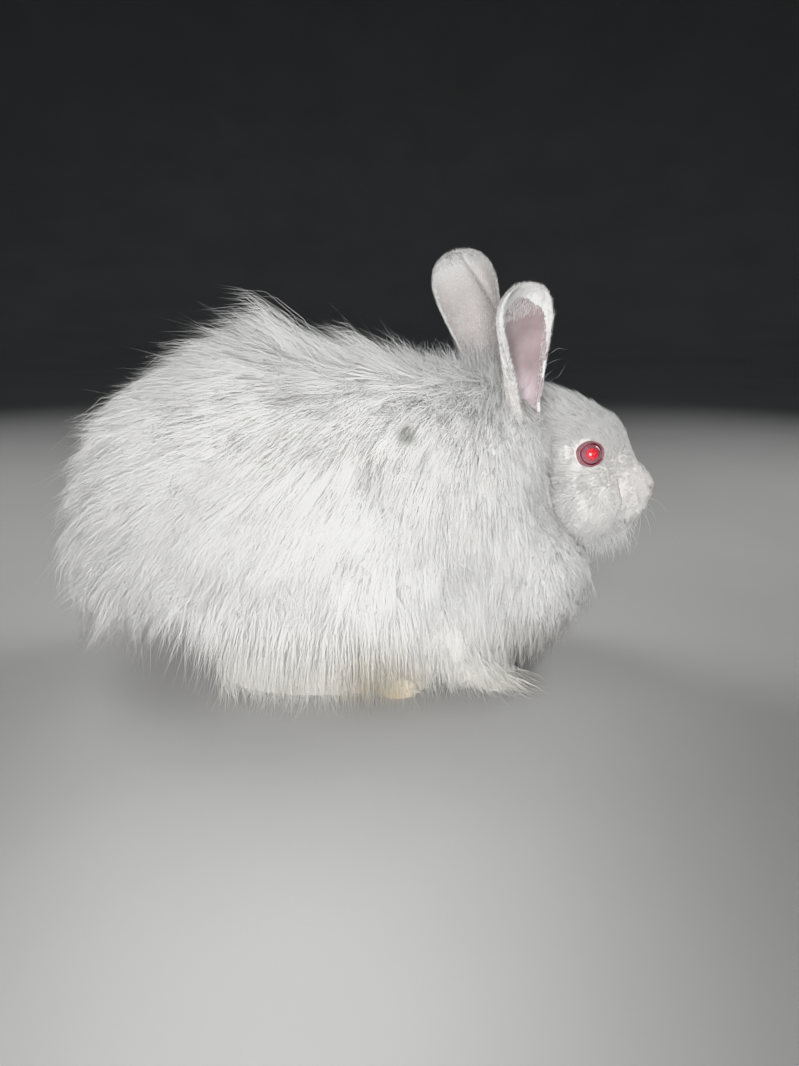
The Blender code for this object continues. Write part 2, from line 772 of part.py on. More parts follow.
def finish_node(target, collection, colour, roughness):
    for found in list(target.users_collection):
        found.objects.unlink(target)
    collection.objects.link(target)
    target.data.materials.clear()
    target.data.materials.append(material(target.name, colour, roughness))
    for face in target.data.polygons:
        face.use_smooth = True
        face.material_index = 0


def build():
    clear_scene()
    rabbit = new_collection("angora_rabbit")
    scratch = new_collection("cutters")

    head, head_plain = make_head(scratch)
    head_grown = grown_copy(head_plain, GAP, scratch)
    eyes = []
    for name, side in (("eye_right", -1.0), ("eye_left", 1.0)):
        centre = (EYE_CENTRE[0], EYE_CENTRE[1] * side, EYE_CENTRE[2])
        eyes.append(sphere(name, centre, (EYE_RADIUS,) * 3, EYE_SIDES, EYE_ROWS, scratch))
        socket = sphere("socket", centre, (EYE_RADIUS + GAP,) * 3, EYE_SIDES, EYE_ROWS, scratch)
        combine(head, [socket], "DIFFERENCE", scratch)
    keep_largest(head)

    ears = [make_ear(*values, scratch) for values in EARS]
    ear_spaces = []
    for ear in ears:
        base_points = [vert.co.copy() for vert in ear.data.vertices if vert.co.z < EAR_CLEAR_HEIGHT]
        combine(ear, [copied(head_grown, "cut", scratch)], "DIFFERENCE", scratch)
        keep_largest(ear)
        ear_spaces.append(space_round_points(base_points, scratch))

    foot_left = make_foot("foot", scratch)
    foot_right = mirrored(foot_left, "foot_right", scratch)
    fore_left = make_fore_leg("fore_leg_left", scratch)
    fore_right = mirrored(fore_left, "fore_leg_right", scratch)

    fore_spaces = [space_round(form, scratch) for form in (fore_left, fore_right)]
    foot_spaces = [space_round(form, scratch) for form in (foot_left, foot_right)]
    head_spaces = [head_grown] + ear_spaces

    core = ball_form("core", BODY_CENTRE, core_field, 0.0, CORE_FINENESS, scratch, CORE_FLOOR)
    reduced(core, CORE_TRIANGLES)
    locks = make_locks(scratch)

    neck = combine(copied(core, "neck", scratch), locks["neck"], "UNION", scratch)
    combine(neck, [neck_ball(HALF_GAP, scratch)], "DIFFERENCE", scratch)
    hind_legs = []
    for name, side, foot in (("hind_leg_right", -1.0, foot_right), ("hind_leg_left", 1.0, foot_left)):
        leg = combine(copied(core, name, scratch), locks[name], "UNION", scratch)
        combine(leg, [thigh_region(side, -HALF_GAP, scratch)], "INTERSECT", scratch)
        combine(leg, [copied(space, "cut", scratch) for space in fore_spaces], "DIFFERENCE", scratch)
        combine(leg, [foot], "UNION", scratch)
        hind_legs.append(leg)
    tail = combine(copied(core, "tail", scratch), locks["tail"], "UNION", scratch)
    combine(tail, [tail_region(-HALF_GAP, scratch)], "INTERSECT", scratch)
    torso = combine(copied(core, "torso", scratch), locks["torso"], "UNION", scratch)
    combine(torso, [neck_ball(-HALF_GAP, scratch)], "INTERSECT", scratch)
    apart = [thigh_region(1.0, HALF_GAP, scratch), thigh_region(-1.0, HALF_GAP, scratch)]
    apart.append(tail_region(HALF_GAP, scratch))
    combine(torso, apart, "DIFFERENCE", scratch)
    spaces = head_spaces + fore_spaces + foot_spaces
    for node in (neck, torso):
        combine(node, [copied(space, "cut", scratch) for space in spaces], "DIFFERENCE", scratch)
    for node in (neck, torso, tail, *hind_legs):
        keep_largest(node)

    for node in (neck, torso, tail, *hind_legs):
        finish_node(node, rabbit, COAT_COLOUR, COAT_ROUGHNESS)
    finish_node(head, rabbit, COAT_COLOUR, COAT_ROUGHNESS)
    for node in (fore_left, fore_right):
        finish_node(node, rabbit, COAT_COLOUR, COAT_ROUGHNESS)
    for node in ears:
        finish_node(node, rabbit, EAR_COLOUR, COAT_ROUGHNESS)
    for node in eyes:
        finish_node(node, rabbit, EYE_COLOUR, EYE_ROUGHNESS)
    for found in spaces + [core, head_plain]:
        bpy.data.objects.remove(found)


build()
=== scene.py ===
"""The looks of a life-size angora rabbit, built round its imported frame.

One skin stands in for the nodes of flesh. The wool, the short fur, the eyes, lids, claws and whiskers are
solid meshes over it. The forms repeat those of the part's source, in metres: +X forwards, +Y to the left,
+Z up.
"""
import math

import bmesh
import bpy
import numpy as np
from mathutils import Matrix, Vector
from mathutils.kdtree import KDTree


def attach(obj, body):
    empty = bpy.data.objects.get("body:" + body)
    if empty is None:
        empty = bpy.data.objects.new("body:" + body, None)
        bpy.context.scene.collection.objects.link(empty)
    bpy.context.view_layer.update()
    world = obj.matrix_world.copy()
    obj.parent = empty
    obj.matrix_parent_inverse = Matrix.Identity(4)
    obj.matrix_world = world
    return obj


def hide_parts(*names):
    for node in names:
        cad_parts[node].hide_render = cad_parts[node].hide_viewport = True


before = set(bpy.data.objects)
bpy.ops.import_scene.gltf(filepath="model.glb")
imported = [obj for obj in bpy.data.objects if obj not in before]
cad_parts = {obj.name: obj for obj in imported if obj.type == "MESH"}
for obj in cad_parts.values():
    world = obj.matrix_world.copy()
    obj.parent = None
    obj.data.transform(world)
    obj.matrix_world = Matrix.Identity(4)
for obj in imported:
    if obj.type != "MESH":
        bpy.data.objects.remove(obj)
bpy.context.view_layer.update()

ROOT = "root"

# The coat's outer surface: centre, radii and pitch of each mass
BODY_CENTRE = (-0.020, 0.0, 0.095)
BODY_MASSES = (
    ("rump", (-0.114, 0.0, 0.112), (0.081, 0.094, 0.090), 0.0),
    ("seat", (-0.136, 0.0, 0.074), (0.062, 0.084, 0.048), 0.0),
    ("back", (-0.064, 0.0, 0.127), (0.097, 0.093, 0.101), 0.10),
    ("flank", (-0.020, 0.0, 0.080), (0.112, 0.104, 0.092), 0.0),
    ("withers", (0.006, 0.0, 0.150), (0.080, 0.076, 0.070), 0.12),
    ("shoulders", (0.056, 0.0, 0.120), (0.072, 0.083, 0.090), 0.16),
    ("chest", (0.108, 0.0, 0.062), (0.055, 0.070, 0.055), 0.0),
    ("belly", (0.028, 0.0, 0.036), (0.104, 0.084, 0.048), 0.0),
    ("nape", (0.082, 0.0, 0.149), (0.044, 0.056, 0.052), 0.30),
)
SMOOTH_BODY = 0.030
CORE_INSET = 0.026
CORE_FLOOR = 0.0020
HEAD_RAMP = 0.050
LEAST_INSET = 0.15

HEAD_CENTRE = (0.156, 0.0, 0.130)
HEAD_MASSES = (
    ("cranium", (0.137, 0.0, 0.151), (0.034, 0.0270, 0.033), 0.50),
    ("brow", (0.160, 0.0, 0.1515), (0.027, 0.0240, 0.023), 0.62),
    ("bridge", (0.1785, 0.0, 0.1295), (0.0260, 0.0140, 0.0190), 0.80),
    ("eye_ring", (0.151, 0.0175, 0.149), (0.018, 0.0125, 0.016), 0.50),
    ("cheek", (0.152, 0.0145, 0.115), (0.0275, 0.0195, 0.0265), 0.70),
    ("muzzle", (0.1830, 0.0075, 0.1130), (0.0150, 0.0112, 0.0138), 0.60),
    ("nose", (0.1945, 0.0, 0.1235), (0.0100, 0.0080, 0.0090), 0.60),
    ("chin", (0.1735, 0.0, 0.1010), (0.0160, 0.0118, 0.0105), 0.30),
)
SMOOTH_HEAD = 0.011
HEAD_SKIN_LEVEL = -0.0014

EYE_RADIUS = 0.0088
EYE_CENTRE = (0.1525, 0.0265, 0.1505)
EYE_OUTWARD = (0.22, 1.0, 0.12)
GAZE = (0.04, 1.0, 0.14)

# Ears: base, middle and tip of the axis, the way the cup opens, and how strongly its front edge folds
EARS = {
    "ear_right": ((0.1050, -0.0160, 0.1600), (0.0985, -0.0400, 0.2100), (0.0940, -0.0600, 0.2550),
                  (0.60, -0.80, 0.05), 0.0),
    "ear_left": ((0.1100, 0.0150, 0.1600), (0.0840, 0.0300, 0.2150), (0.0680, 0.0450, 0.2800),
                 (0.15, 1.00, 0.05), 1.0),
}
# The cup of an ear at places along it: half its arc's length and its radius
EAR_STATIONS = (0.0, 0.25, 0.50, 0.75, 1.0)
EAR_HALF_ARCS = (0.0215, 0.0205, 0.0228, 0.0270, 0.0262)
EAR_RADII = (0.0092, 0.0102, 0.0155, 0.0250, 0.0360)
# The tip is rounded from this share of the ear on, and leans over as a hood
EAR_ROUND_FROM = 0.78
EAR_ROUND_POWER = 2.4
EAR_TIP_SHARE = 0.05
EAR_ROW_SPACING = 1.7
EAR_HOOD = 0.60
EAR_ROWS = 78
EAR_COLUMNS = 53
EAR_THICK_MIDDLE = 0.0022
EAR_THICK_EDGE = 0.0010
# Both edges roll inwards past this share of the way out
EAR_ROLL = 0.55
EAR_ROLL_FROM = 0.70
EAR_CHANNEL_PLACES = (0.05, 0.18, 0.42, 0.60)
EAR_CHANNEL_DEPTHS = (0.0, 1.0, 0.8, 0.0)
FOLD_SIDE = -1.0
FOLD_DEPTH = 0.0022
FOLD_PLACES = (0.48, 0.62, 0.92, 1.0)
FOLD_SHARES = (0.0, 1.0, 1.0, 0.3)
# The white rim inside the ear: its middle across, half the pink's width along, and where it closes at the tip
RIM_CENTRE = 0.11
RIM_HALF_WIDTHS = (0.90, 0.90, 0.87)
RIM_ROUND_FROM = 0.52
RIM_ROUND = 0.40

# Feet, paws and toes; toes by their place forwards and sideways from the foot's middle
FOOT_CENTRE = (-0.022, 0.063, 0.0125)
FOOT_RADII = (0.060, 0.0140, 0.0150)
TOE_RADII = (0.0115, 0.0044, 0.0074)
HIND_TOES = ((0.0300, -0.0110), (0.0345, -0.0038), (0.0345, 0.0038), (0.0290, 0.0110))
FORE_PATH = ((0.034, 0.050, 0.072), (0.056, 0.052, 0.042), (0.070, 0.054, 0.019), (0.078, 0.055, 0.0105))
FORE_RADII = (0.0120, 0.0115, 0.0098, 0.0092)
PAW_CENTRE = (0.0800, 0.055, 0.0095)
PAW_RADII = (0.0172, 0.0118, 0.0098)
FORE_TOES = ((0.0930, -0.0085), (0.0970, -0.0028), (0.0970, 0.0028), (0.0930, 0.0085))
FORE_TOE_RADII = (0.0088, 0.0034, 0.0058)

# The wool's lie: how much it runs to the rear, against 1 downwards, from the rump to the chest
LIE_PLACES = (-0.20, -0.12, -0.02, 0.06, 0.12, 0.16)
LIE_REARWARD = (1.5, 1.3, 0.50, 0.18, 0.0, -0.30)
LIE_FLAT_ON_TOP = 0.60
LIE_DROOP_HEIGHTS = (0.035, 0.150)
LIE_DROOP_SHARE = 0.30
HANG_NORMALS = (-0.60, -0.05)
LOWEST_ROOT_NORMAL = -0.62
WOOL_FLOOR = 0.0008

BOTH = (1.0, -1.0)
SIDES = (("right", -1.0), ("left", 1.0))
WHOLE_TURN = 2 * math.pi

# The width of a tuft's patch in the OFBake map
TUFT_PATCH = 0.003


def unit(vectors):
    return vectors / np.maximum(np.linalg.norm(vectors, axis=-1, keepdims=True), 1e-9)


def bell(values, middle, width):
    """1 at the middle, falling softly to 0 over about twice the width."""
    return np.exp(-(((values - middle) / width) ** 2))


def smooth_min(first, second, width):
    """The smaller of two fields, rounded where they are within the width of each other."""
    share = np.clip(0.5 + 0.5 * (second - first) / width, 0.0, 1.0)
    return second * (1 - share) + first * share - width * share * (1 - share)


def form_field(points, masses, smooth):
    """Smooth union of ellipsoids: negative inside, and about the distance to the surface near it."""
    total = None
    for _, centre, radii, pitch in masses:
        for side in BOTH if centre[1] else (1.0,):
            x, y, z = (points - np.array(mirror(centre, side))).T
            turn, rise = math.cos(pitch), math.sin(pitch)
            local = np.stack((turn * x - rise * z, y, rise * x + turn * z), axis=1) / np.array(radii)
            near = np.maximum(np.linalg.norm(local, axis=1), 1e-6)
            steep = np.maximum(np.linalg.norm(local / np.array(radii), axis=1), 1e-6)
            distance = near * (near - 1) / steep
            total = distance if total is None else smooth_min(total, distance, smooth)
    return total


def body_field(points):
    return form_field(points, BODY_MASSES, SMOOTH_BODY)


def head_field(points):
    return form_field(points, HEAD_MASSES, SMOOTH_HEAD)


def wool_share(points):
    """How much of its full length the wool has at the points."""
    return np.clip(head_field(points) / HEAD_RAMP, LEAST_INSET, 1.0)


def core_field(points):
    """The body under the wool."""
    return body_field(points) + CORE_INSET * wool_share(points)


def field_normals(points, field, step=0.0008):
    """Unit outward normals, from central differences of the field."""
    slopes = [field(points + shift) - field(points - shift) for shift in np.eye(3) * step]
    return unit(np.stack(slopes, axis=1))


def cast_to_level(directions, centre, field, level, reach=0.26, steps=110, halvings=16):
    """The outermost point along each direction from the centre where the field is at the level."""
    radii = np.linspace(reach, 0.0, steps)
    inside = np.stack([field(centre + directions * r) < level for r in radii])
    first = inside.argmax(axis=0)
    near, far = radii[first], radii[first - 1]
    for _ in range(halvings):
        middle = (near + far) / 2
        within = field(centre + directions * middle[:, None]) < level
        near, far = np.where(within, middle, near), np.where(within, far, middle)
    return centre + directions * near[:, None]


def cast_from_body(points):
    """The places where lines from the body's centre through the points leave the core."""
    centre = np.array(BODY_CENTRE)
    return cast_to_level(unit(points - centre), centre, core_field, 0.0)


def waves(points, length, seed, layers=6):
    """A smooth random field of about unit size, with bumps the given length apart."""
    chance = np.random.default_rng(seed)
    total = np.zeros(len(points))
    for _ in range(layers):
        way = unit(chance.normal(size=3))
        pace = WHOLE_TURN / length * chance.uniform(0.7, 1.4)
        total += np.sin(points @ way * pace + chance.uniform(0, WHOLE_TURN))
    return total / math.sqrt(layers / 2)


def mirror(point, side):
    return (point[0], point[1] * side, point[2])


def swung(lie, normals, yaw):
    """The lie, turned about the normals by the yaw."""
    return lie * np.cos(yaw)[:, None] + np.cross(normals, lie) * np.sin(yaw)[:, None]


def along_surface(ways, normals):
    """The part of the ways that runs along the surface, as unit directions."""
    return unit(ways - normals * np.sum(ways * normals, axis=1, keepdims=True))


def above_floor(points, height=WOOL_FLOOR):
    points[..., 2] = np.maximum(points[..., 2], height)
    return points


def between(limits, chance, count, bias=1.0):
    """Random values from the first limit to the second, nearer the first where the bias is over 1."""
    return limits[0] + (limits[1] - limits[0]) * chance.random(count) ** bias


def nearest_leader(leaders, roots):
    """The number of the leader that is nearest each root."""
    tree = KDTree(len(leaders))
    for index, leader in enumerate(leaders):
        tree.insert(leader, index)
    tree.balance()
    return np.array([tree.find(root)[1] for root in roots])


# Meshes


def new_collection(name):
    made = bpy.data.collections.new(name)
    bpy.context.scene.collection.children.link(made)
    return made


def object_from_bmesh(name, bm, collection):
    mesh = bpy.data.meshes.new(name)
    bm.to_mesh(mesh)
    bm.free()
    made = bpy.data.objects.new(name, mesh)
    collection.objects.link(made)
    return made


def object_from_arrays(name, points, faces, collection):
    mesh = bpy.data.meshes.new(name)
    mesh.from_pydata(points.tolist(), [], [list(face) for face in faces])
    made = bpy.data.objects.new(name, mesh)
    collection.objects.link(made)
    return made


def smooth_shaded(target):
    target.data.polygons.foreach_set("use_smooth", np.ones(len(target.data.polygons), bool))
    return target


def finished(name, bm, material):
    """A smooth piece of the visible model from a bmesh."""
    piece = smooth_shaded(object_from_bmesh(name, bm, coat))
    piece.data.materials.append(material)
    return piece


def ring_of(bm, middle, side, top, radius, sides):
    """New vertices on a circle round the middle."""
    angles = [WHOLE_TURN * step / sides for step in range(sides)]
    return [bm.verts.new(middle + (side * math.cos(a) + top * math.sin(a)) * radius) for a in angles]


def bridge(bm, rings):
    """Faces between each ring of vertices and the next."""
    for lower, upper in zip(rings, rings[1:]):
        for step in range(len(lower)):
            after = (step + 1) % len(lower)
            bm.faces.new((lower[step], lower[after], upper[after], upper[step]))


# Materials


WOOL_TRANSLUCENCE = 0.32


def new_material(name, roughness):
    """A material with its shader, a function that adds a node with its inputs set or linked, and one that
    links
    a colour or normal to the shader.
    """
    made = bpy.data.materials.new(name)
    made.use_nodes = True
    tree = made.node_tree
    shader = tree.nodes["Principled BSDF"]
    shader.inputs["Roughness"].default_value = roughness

    def add(kind, settings=(), **inputs):
        node = tree.nodes.new(kind)
        for key, value in dict(settings).items():
            setattr(node, key, value)
        for key, value in inputs.items():
            socket = node.inputs[int(key[1:])] if key[1:].isdigit() else node.inputs[key.replace("_", " ")]
            if isinstance(value, bpy.types.NodeSocket):
                tree.links.new(value, socket)
            else:
                socket.default_value = value
        return node

    def join(source, socket):
        tree.links.new(source, shader.inputs[socket])

    return made, shader, add, join


def place_of(add):
    return add("ShaderNodeTexCoord").outputs["Object"]


def let_light_through(made, shader, add, colour, share):
    """Mixes in the light that comes through thin hairs from behind."""
    through = add("ShaderNodeBsdfTranslucent", Color=colour)
    both = add("ShaderNodeMixShader", Fac=share, _1=shader.outputs["BSDF"], _2=through.outputs["BSDF"])
    surface = made.node_tree.nodes["Material Output"].inputs["Surface"]
    made.node_tree.links.new(both.outputs["Shader"], surface)


def noise(add, place, scale, detail=3.0, rough=0.55):
    return add("ShaderNodeTexNoise", Vector=place, Scale=scale, Detail=detail, Roughness=rough).outputs["Fac"]


def ramp(add, value, stops):
    """A colour ramp through (position, colour) stops."""
    node = add("ShaderNodeValToRGB", Fac=value)
    while len(node.color_ramp.elements) < len(stops):
        node.color_ramp.elements.new(0.5)
    for element, (position, colour) in zip(node.color_ramp.elements, stops):
        element.position = position
        element.color = (*colour, 1.0)
    return node.outputs["Color"]


def mix(add, share, first, second, kind="MIX"):
    node = add("ShaderNodeMix", {"data_type": "RGBA", "blend_type": kind})
    tree = node.id_data
    for socket, value in ((node.inputs[0], share), (node.inputs[6], first), (node.inputs[7], second)):
        if isinstance(value, bpy.types.NodeSocket):
            tree.links.new(value, socket)
        elif socket == node.inputs[0]:
            socket.default_value = value
        else:
            socket.default_value = (*value, 1.0)
    return node.outputs[2]


def closeness(add, place, centre, reach, softness):
    """1 near the centre and 0 past the reach, with a soft border."""
    away = add("ShaderNodeVectorMath", {"operation": "DISTANCE"}, _0=place, _1=centre).outputs["Value"]
    node = add("ShaderNodeMapRange", {"interpolation_type": "SMOOTHSTEP"}, Value=away)
    node.inputs["From Min"].default_value = reach + softness
    node.inputs["From Max"].default_value = max(reach - softness, 0.0)
    return node.outputs["Result"]


def tinted(add, place, colour, tints):
    """The colour, mixed with each tint near the tint's centre."""
    for centre, reach, softness, tint in tints:
        colour = mix(add, closeness(add, place, centre, reach, softness), colour, tint)
    return colour


def roughen(add, join, place, scale, detail, rough, strength, distance):
    """Fine relief on the surface."""
    relief = noise(add, place, scale, detail, rough)
    bump = add("ShaderNodeBump", Height=relief, Strength=strength, Distance=distance)
    join(bump.outputs["Normal"], "Normal")


# Mottled materials: roughness, the mottling's scale, detail and colours, tints near some places (centre,
# reach, softness, colour), relief (scale, detail, roughness, strength, depth), and settings of the shader
TOES = (0.022, -0.068, 0.006)
MOTTLED = {
    "short_fur": {
        "roughness": 0.68,
        "mottling": (60.0, 3.0, ((0.30, (0.930, 0.925, 0.910)), (0.65, (0.970, 0.967, 0.958)))),
        "tints": ((TOES, 0.020, 0.014, (0.66, 0.54, 0.35)),),
        "through": WOOL_TRANSLUCENCE,
        "settings": {"Sheen Weight": 0.25, "Specular IOR Level": 0.3},
    },
    # The skin under the fur: pale, with fine ridges the way short fur lies
    "skin": {
        "roughness": 0.75,
        "mottling": (90.0, 3.0, ((0.30, (0.740, 0.705, 0.685)), (0.68, (0.800, 0.770, 0.750)))),
        "tints": ((TOES, 0.024, 0.014, (0.52, 0.43, 0.30)),),
        "relief": (1400.0, 4.0, 0.6, 0.5, 0.0004),
        "settings": {"Sheen Weight": 0.2},
    },
    # The dense white wool next to the body, seen between the tufts
    "under_wool": {
        "roughness": 0.85,
        "mottling": (120.0, 4.0, ((0.30, (0.900, 0.895, 0.880)), (0.66, (0.950, 0.947, 0.938)))),
        "relief": (700.0, 5.0, 0.7, 0.6, 0.0010),
        "settings": {"Sheen Weight": 0.4},
    },
    # The thin skin of the back of the ear, which shows through its sparse fur, with a white tip on the far
    # ear
    "ear_back": {
        "roughness": 0.6,
        "mottling": (70.0, 4.0, ((0.30, (0.390, 0.355, 0.350)), (0.70, (0.480, 0.445, 0.435)))),
        "tints": (((0.060, 0.045, 0.295), 0.030, 0.030, (0.86, 0.86, 0.85)),),
        "relief": (1200.0, 3.0, 0.55, 0.45, 0.0004),
        "settings": {"Sheen Weight": 0.3},
    },
    "nose_skin": {
        "roughness": 0.45, "mottling": (300.0, 3.0, ((0.3, (0.62, 0.36, 0.36)), (0.7, (0.78, 0.55, 0.53)))),
        "relief": (2200.0, 2.0, 0.55, 0.4, 0.0002),
    },
    "eyelid": {
        "roughness": 0.38, "mottling": (420.0, 3.0, ((0.3, (0.24, 0.10, 0.115)), (0.7, (0.38, 0.20, 0.215)))),
        "relief": (1500.0, 3.0, 0.55, 0.4, 0.0003),
    },
    "claw": {
        "roughness": 0.35,
        "mottling": (200.0, 3.0, ((0.3, (0.70, 0.60, 0.52)), (0.7, (0.82, 0.74, 0.66)))),
    },
    "whisker": {
        "roughness": 0.35,
        "mottling": (40.0, 3.0, ((0.3, (0.80, 0.79, 0.77)), (0.7, (0.92, 0.91, 0.90)))),
    },
    "studio_floor": {
        "roughness": 0.85,
        "mottling": (3.0, 3.0, ((0.3, (0.350, 0.348, 0.343)), (0.7, (0.375, 0.373, 0.368)))),
    },
}


def mottled_material(name):
    facts = MOTTLED[name]
    made, shader, add, join = new_material(name, facts["roughness"])
    place = place_of(add)
    scale, detail, colours = facts["mottling"]
    colour = tinted(add, place, ramp(add, noise(add, place, scale, detail), colours), facts.get("tints", ()))
    join(colour, "Base Color")
    if "relief" in facts:
        roughen(add, join, place, *facts["relief"])
    if "through" in facts:
        let_light_through(made, shader, add, colour, facts["through"])
    for socket, value in facts.get("settings", {}).items():
        shader.inputs[socket].default_value = value
    return made


# Where the wool is tinted: painted shade on the top of the back and at the nape (partly the nape's own grey),
# the yellowed hem at the toes, the hem beside it (partly soiled, partly painted shade), and the smudge on the
# shoulder
SMUDGE = (0.40, 0.40, 0.38)
WOOL_STAINS_AND_SHADE = (
    # Painted shade: the top of the back greyer, as the light falls off over it
    ((-0.040, 0.0, 0.300), 0.100, 0.085, (0.80, 0.80, 0.79)),
    # Painted shade at the nape, over some grey of the wool itself
    ((0.092, 0.0, 0.200), 0.042, 0.040, (0.66, 0.66, 0.66)),
    ((0.012, -0.078, 0.004), 0.016, 0.014, (0.80, 0.74, 0.62)),
    # Partly soiling, partly painted shade of the hem near the floor
    ((0.020, -0.095, 0.010), 0.016, 0.030, (0.66, 0.63, 0.56)),
    ((0.034, -0.062, 0.168), 0.0050, 0.004, SMUDGE),
    ((0.034, -0.073, 0.170), 0.0050, 0.004, SMUDGE),
    ((0.034, -0.084, 0.172), 0.0050, 0.004, SMUDGE),
)
# The wool is darker towards the floor: painted shade at the hem, partly soiling
WOOL_SHADE_AND_SOIL_BY_HEIGHT = ((0.0, (0.78, 0.76, 0.72)), (0.050, (1.0, 1.0, 1.0)))


def wool_material():
    made, shader, add, join = new_material("wool", 0.72)
    place = place_of(add)
    broad = noise(add, place, 16.0)
    fine = noise(add, place, 260.0, 2.0)
    base = ramp(add, broad, ((0.30, (0.935, 0.932, 0.920)), (0.62, (0.975, 0.973, 0.966))))
    tone = ramp(add, fine, ((0.25, (0.965, 0.963, 0.955)), (0.65, (1.0, 1.0, 1.0))))
    # Stains and dirt, with painted shade on the back's top, the nape and the hem
    colour = tinted(add, place, mix(add, 1.0, base, tone, "MULTIPLY"), WOOL_STAINS_AND_SHADE)
    # Painted shade towards the floor, partly soiling
    height = add("ShaderNodeSeparateXYZ", Vector=place).outputs["Z"]
    colour = mix(add, 1.0, colour, ramp(add, height, WOOL_SHADE_AND_SOIL_BY_HEIGHT), "MULTIPLY")
    join(colour, "Base Color")
    let_light_through(made, shader, add, colour, WOOL_TRANSLUCENCE)
    for socket, value in (("Sheen Weight", 0.35), ("Sheen Roughness", 0.5), ("Specular IOR Level", 0.25)):
        shader.inputs[socket].default_value = value
    return made


# The bright channel in the near ear, and painted shade in the hollow at its base
EAR_INSIDE_TINTS_AND_SHADE = (
    ((0.1019, -0.0278, 0.1850), 0.006, 0.020, (0.60, 0.50, 0.55)),
    # Painted shade: the hollow at the ear's base darkened
    ((0.1060, -0.0215, 0.1700), 0.001, 0.009, (0.20, 0.085, 0.095)),
)
EAR_FLESH = ((0.28, (0.270, 0.205, 0.212)), (0.50, (0.335, 0.272, 0.282)), (0.74, (0.420, 0.355, 0.366)))
VEIN_SHARE = 0.16


def ear_inside_material():
    """Thin pink skin with soft veins along the ear."""
    made, shader, add, join = new_material("ear_inside", 0.55)
    place = place_of(add)
    flesh = ramp(add, noise(add, place, 55.0, 4.0), EAR_FLESH)
    stretched = add("ShaderNodeMapping", Vector=place, Scale=(150.0, 150.0, 38.0)).outputs["Vector"]
    cells = add("ShaderNodeTexVoronoi", {"feature": "DISTANCE_TO_EDGE"}, Vector=stretched, Scale=1.0)
    veins = ramp(add, cells.outputs["Distance"], ((0.0, (1.0, 1.0, 1.0)), (0.09, (0.0, 0.0, 0.0))))
    veins = add("ShaderNodeMath", {"operation": "MULTIPLY"}, _0=veins, _1=VEIN_SHARE).outputs[0]
    colour = mix(add, veins, flesh, (0.42, 0.20, 0.25))
    # With painted shade in the hollow at the ear's base
    join(tinted(add, place, colour, EAR_INSIDE_TINTS_AND_SHADE), "Base Color")
    roughen(add, join, place, 900.0, 3.0, 0.55, 0.35, 0.0004)
    shader.inputs["Sheen Weight"].default_value = 0.3
    return made


# The eye by shares of its radius: where the pupil ends, where the dark border of the iris lies, and where
# it ends
WHITE, BLACK = (1.0, 1.0, 1.0), (0.0, 0.0, 0.0)
IN_PUPIL = ((0.40, WHITE), (0.46, BLACK))
ON_BORDER = ((0.66, BLACK), (0.74, WHITE), (0.80, WHITE), (0.86, BLACK))
PAST_IRIS = ((0.80, BLACK), (0.88, WHITE))
IRIS_COLOURS = ((0.30, (0.19, 0.060, 0.085)), (0.52, (0.31, 0.125, 0.155)), (0.72, (0.45, 0.240, 0.270)))
# The pupil's bright red is partly painted reflection of the lamp by the camera from the back of the eye, over
# the eye's own red
PUPIL_COLOURS = ((0.35, (0.55, 0.030, 0.045)), (0.62, (0.82, 0.085, 0.100)))
BORDER_COLOUR = (0.13, 0.025, 0.04)
PAST_IRIS_COLOUR = (0.36, 0.16, 0.17)


def eye_material(name, side):
    """A ruby pupil, partly painted reflection, in a mauve-pink iris with fine spokes, a dark border and a
    pale rim.
    """
    made, shader, add, join = new_material(name, 0.08)
    place = place_of(add)
    centre, forward, up, _ = eye_frame(side, GAZE)
    local = add("ShaderNodeVectorMath", {"operation": "SUBTRACT"}, _0=place, _1=tuple(centre))
    local = local.outputs["Vector"]
    dot = {"operation": "DOT_PRODUCT"}
    x, y = (add("ShaderNodeVectorMath", dot, _0=local, _1=tuple(axis)).outputs["Value"]
            for axis in (forward, up))
    flat = add("ShaderNodeCombineXYZ", X=x, Y=y).outputs["Vector"]
    away = add("ShaderNodeVectorMath", {"operation": "LENGTH"}, _0=flat).outputs["Value"]
    radius = add("ShaderNodeMapRange", Value=away)
    radius.inputs["From Max"].default_value = EYE_RADIUS
    radius = radius.outputs["Result"]
    angle = add("ShaderNodeMath", {"operation": "ARCTAN2"}, _0=y, _1=x).outputs[0]
    spokes_at = add("ShaderNodeCombineXYZ", X=angle, Y=radius).outputs["Vector"]
    stretched = add("ShaderNodeMapping", Vector=spokes_at, Scale=(9.0, 2.2, 1.0)).outputs["Vector"]
    iris = ramp(add, noise(add, stretched, 2.4, 4.0, 0.65), IRIS_COLOURS)
    # The pupil's red, partly painted reflection
    pupil = ramp(add, noise(add, place, 700.0, 3.0), PUPIL_COLOURS)
    colour = mix(add, ramp(add, radius, IN_PUPIL), iris, pupil)
    colour = mix(add, ramp(add, radius, ON_BORDER), colour, BORDER_COLOUR)
    colour = mix(add, ramp(add, radius, PAST_IRIS), colour, PAST_IRIS_COLOUR)
    join(colour, "Base Color")
    shader.inputs["Coat Weight"].default_value = 1.0
    shader.inputs["Coat Roughness"].default_value = 0.02
    return made


# The skin


def cast_ball(centre, field, level, subdivisions):
    """Points and triangles of an icosphere cast onto a level of the field."""
    bm = bmesh.new()
    bmesh.ops.create_icosphere(bm, subdivisions=subdivisions, radius=1.0)
    directions = unit(np.array([vert.co for vert in bm.verts]))
    triangles = np.array([[vert.index for vert in face.verts] for face in bm.faces])
    bm.free()
    return cast_to_level(directions, np.array(centre), field, level), triangles


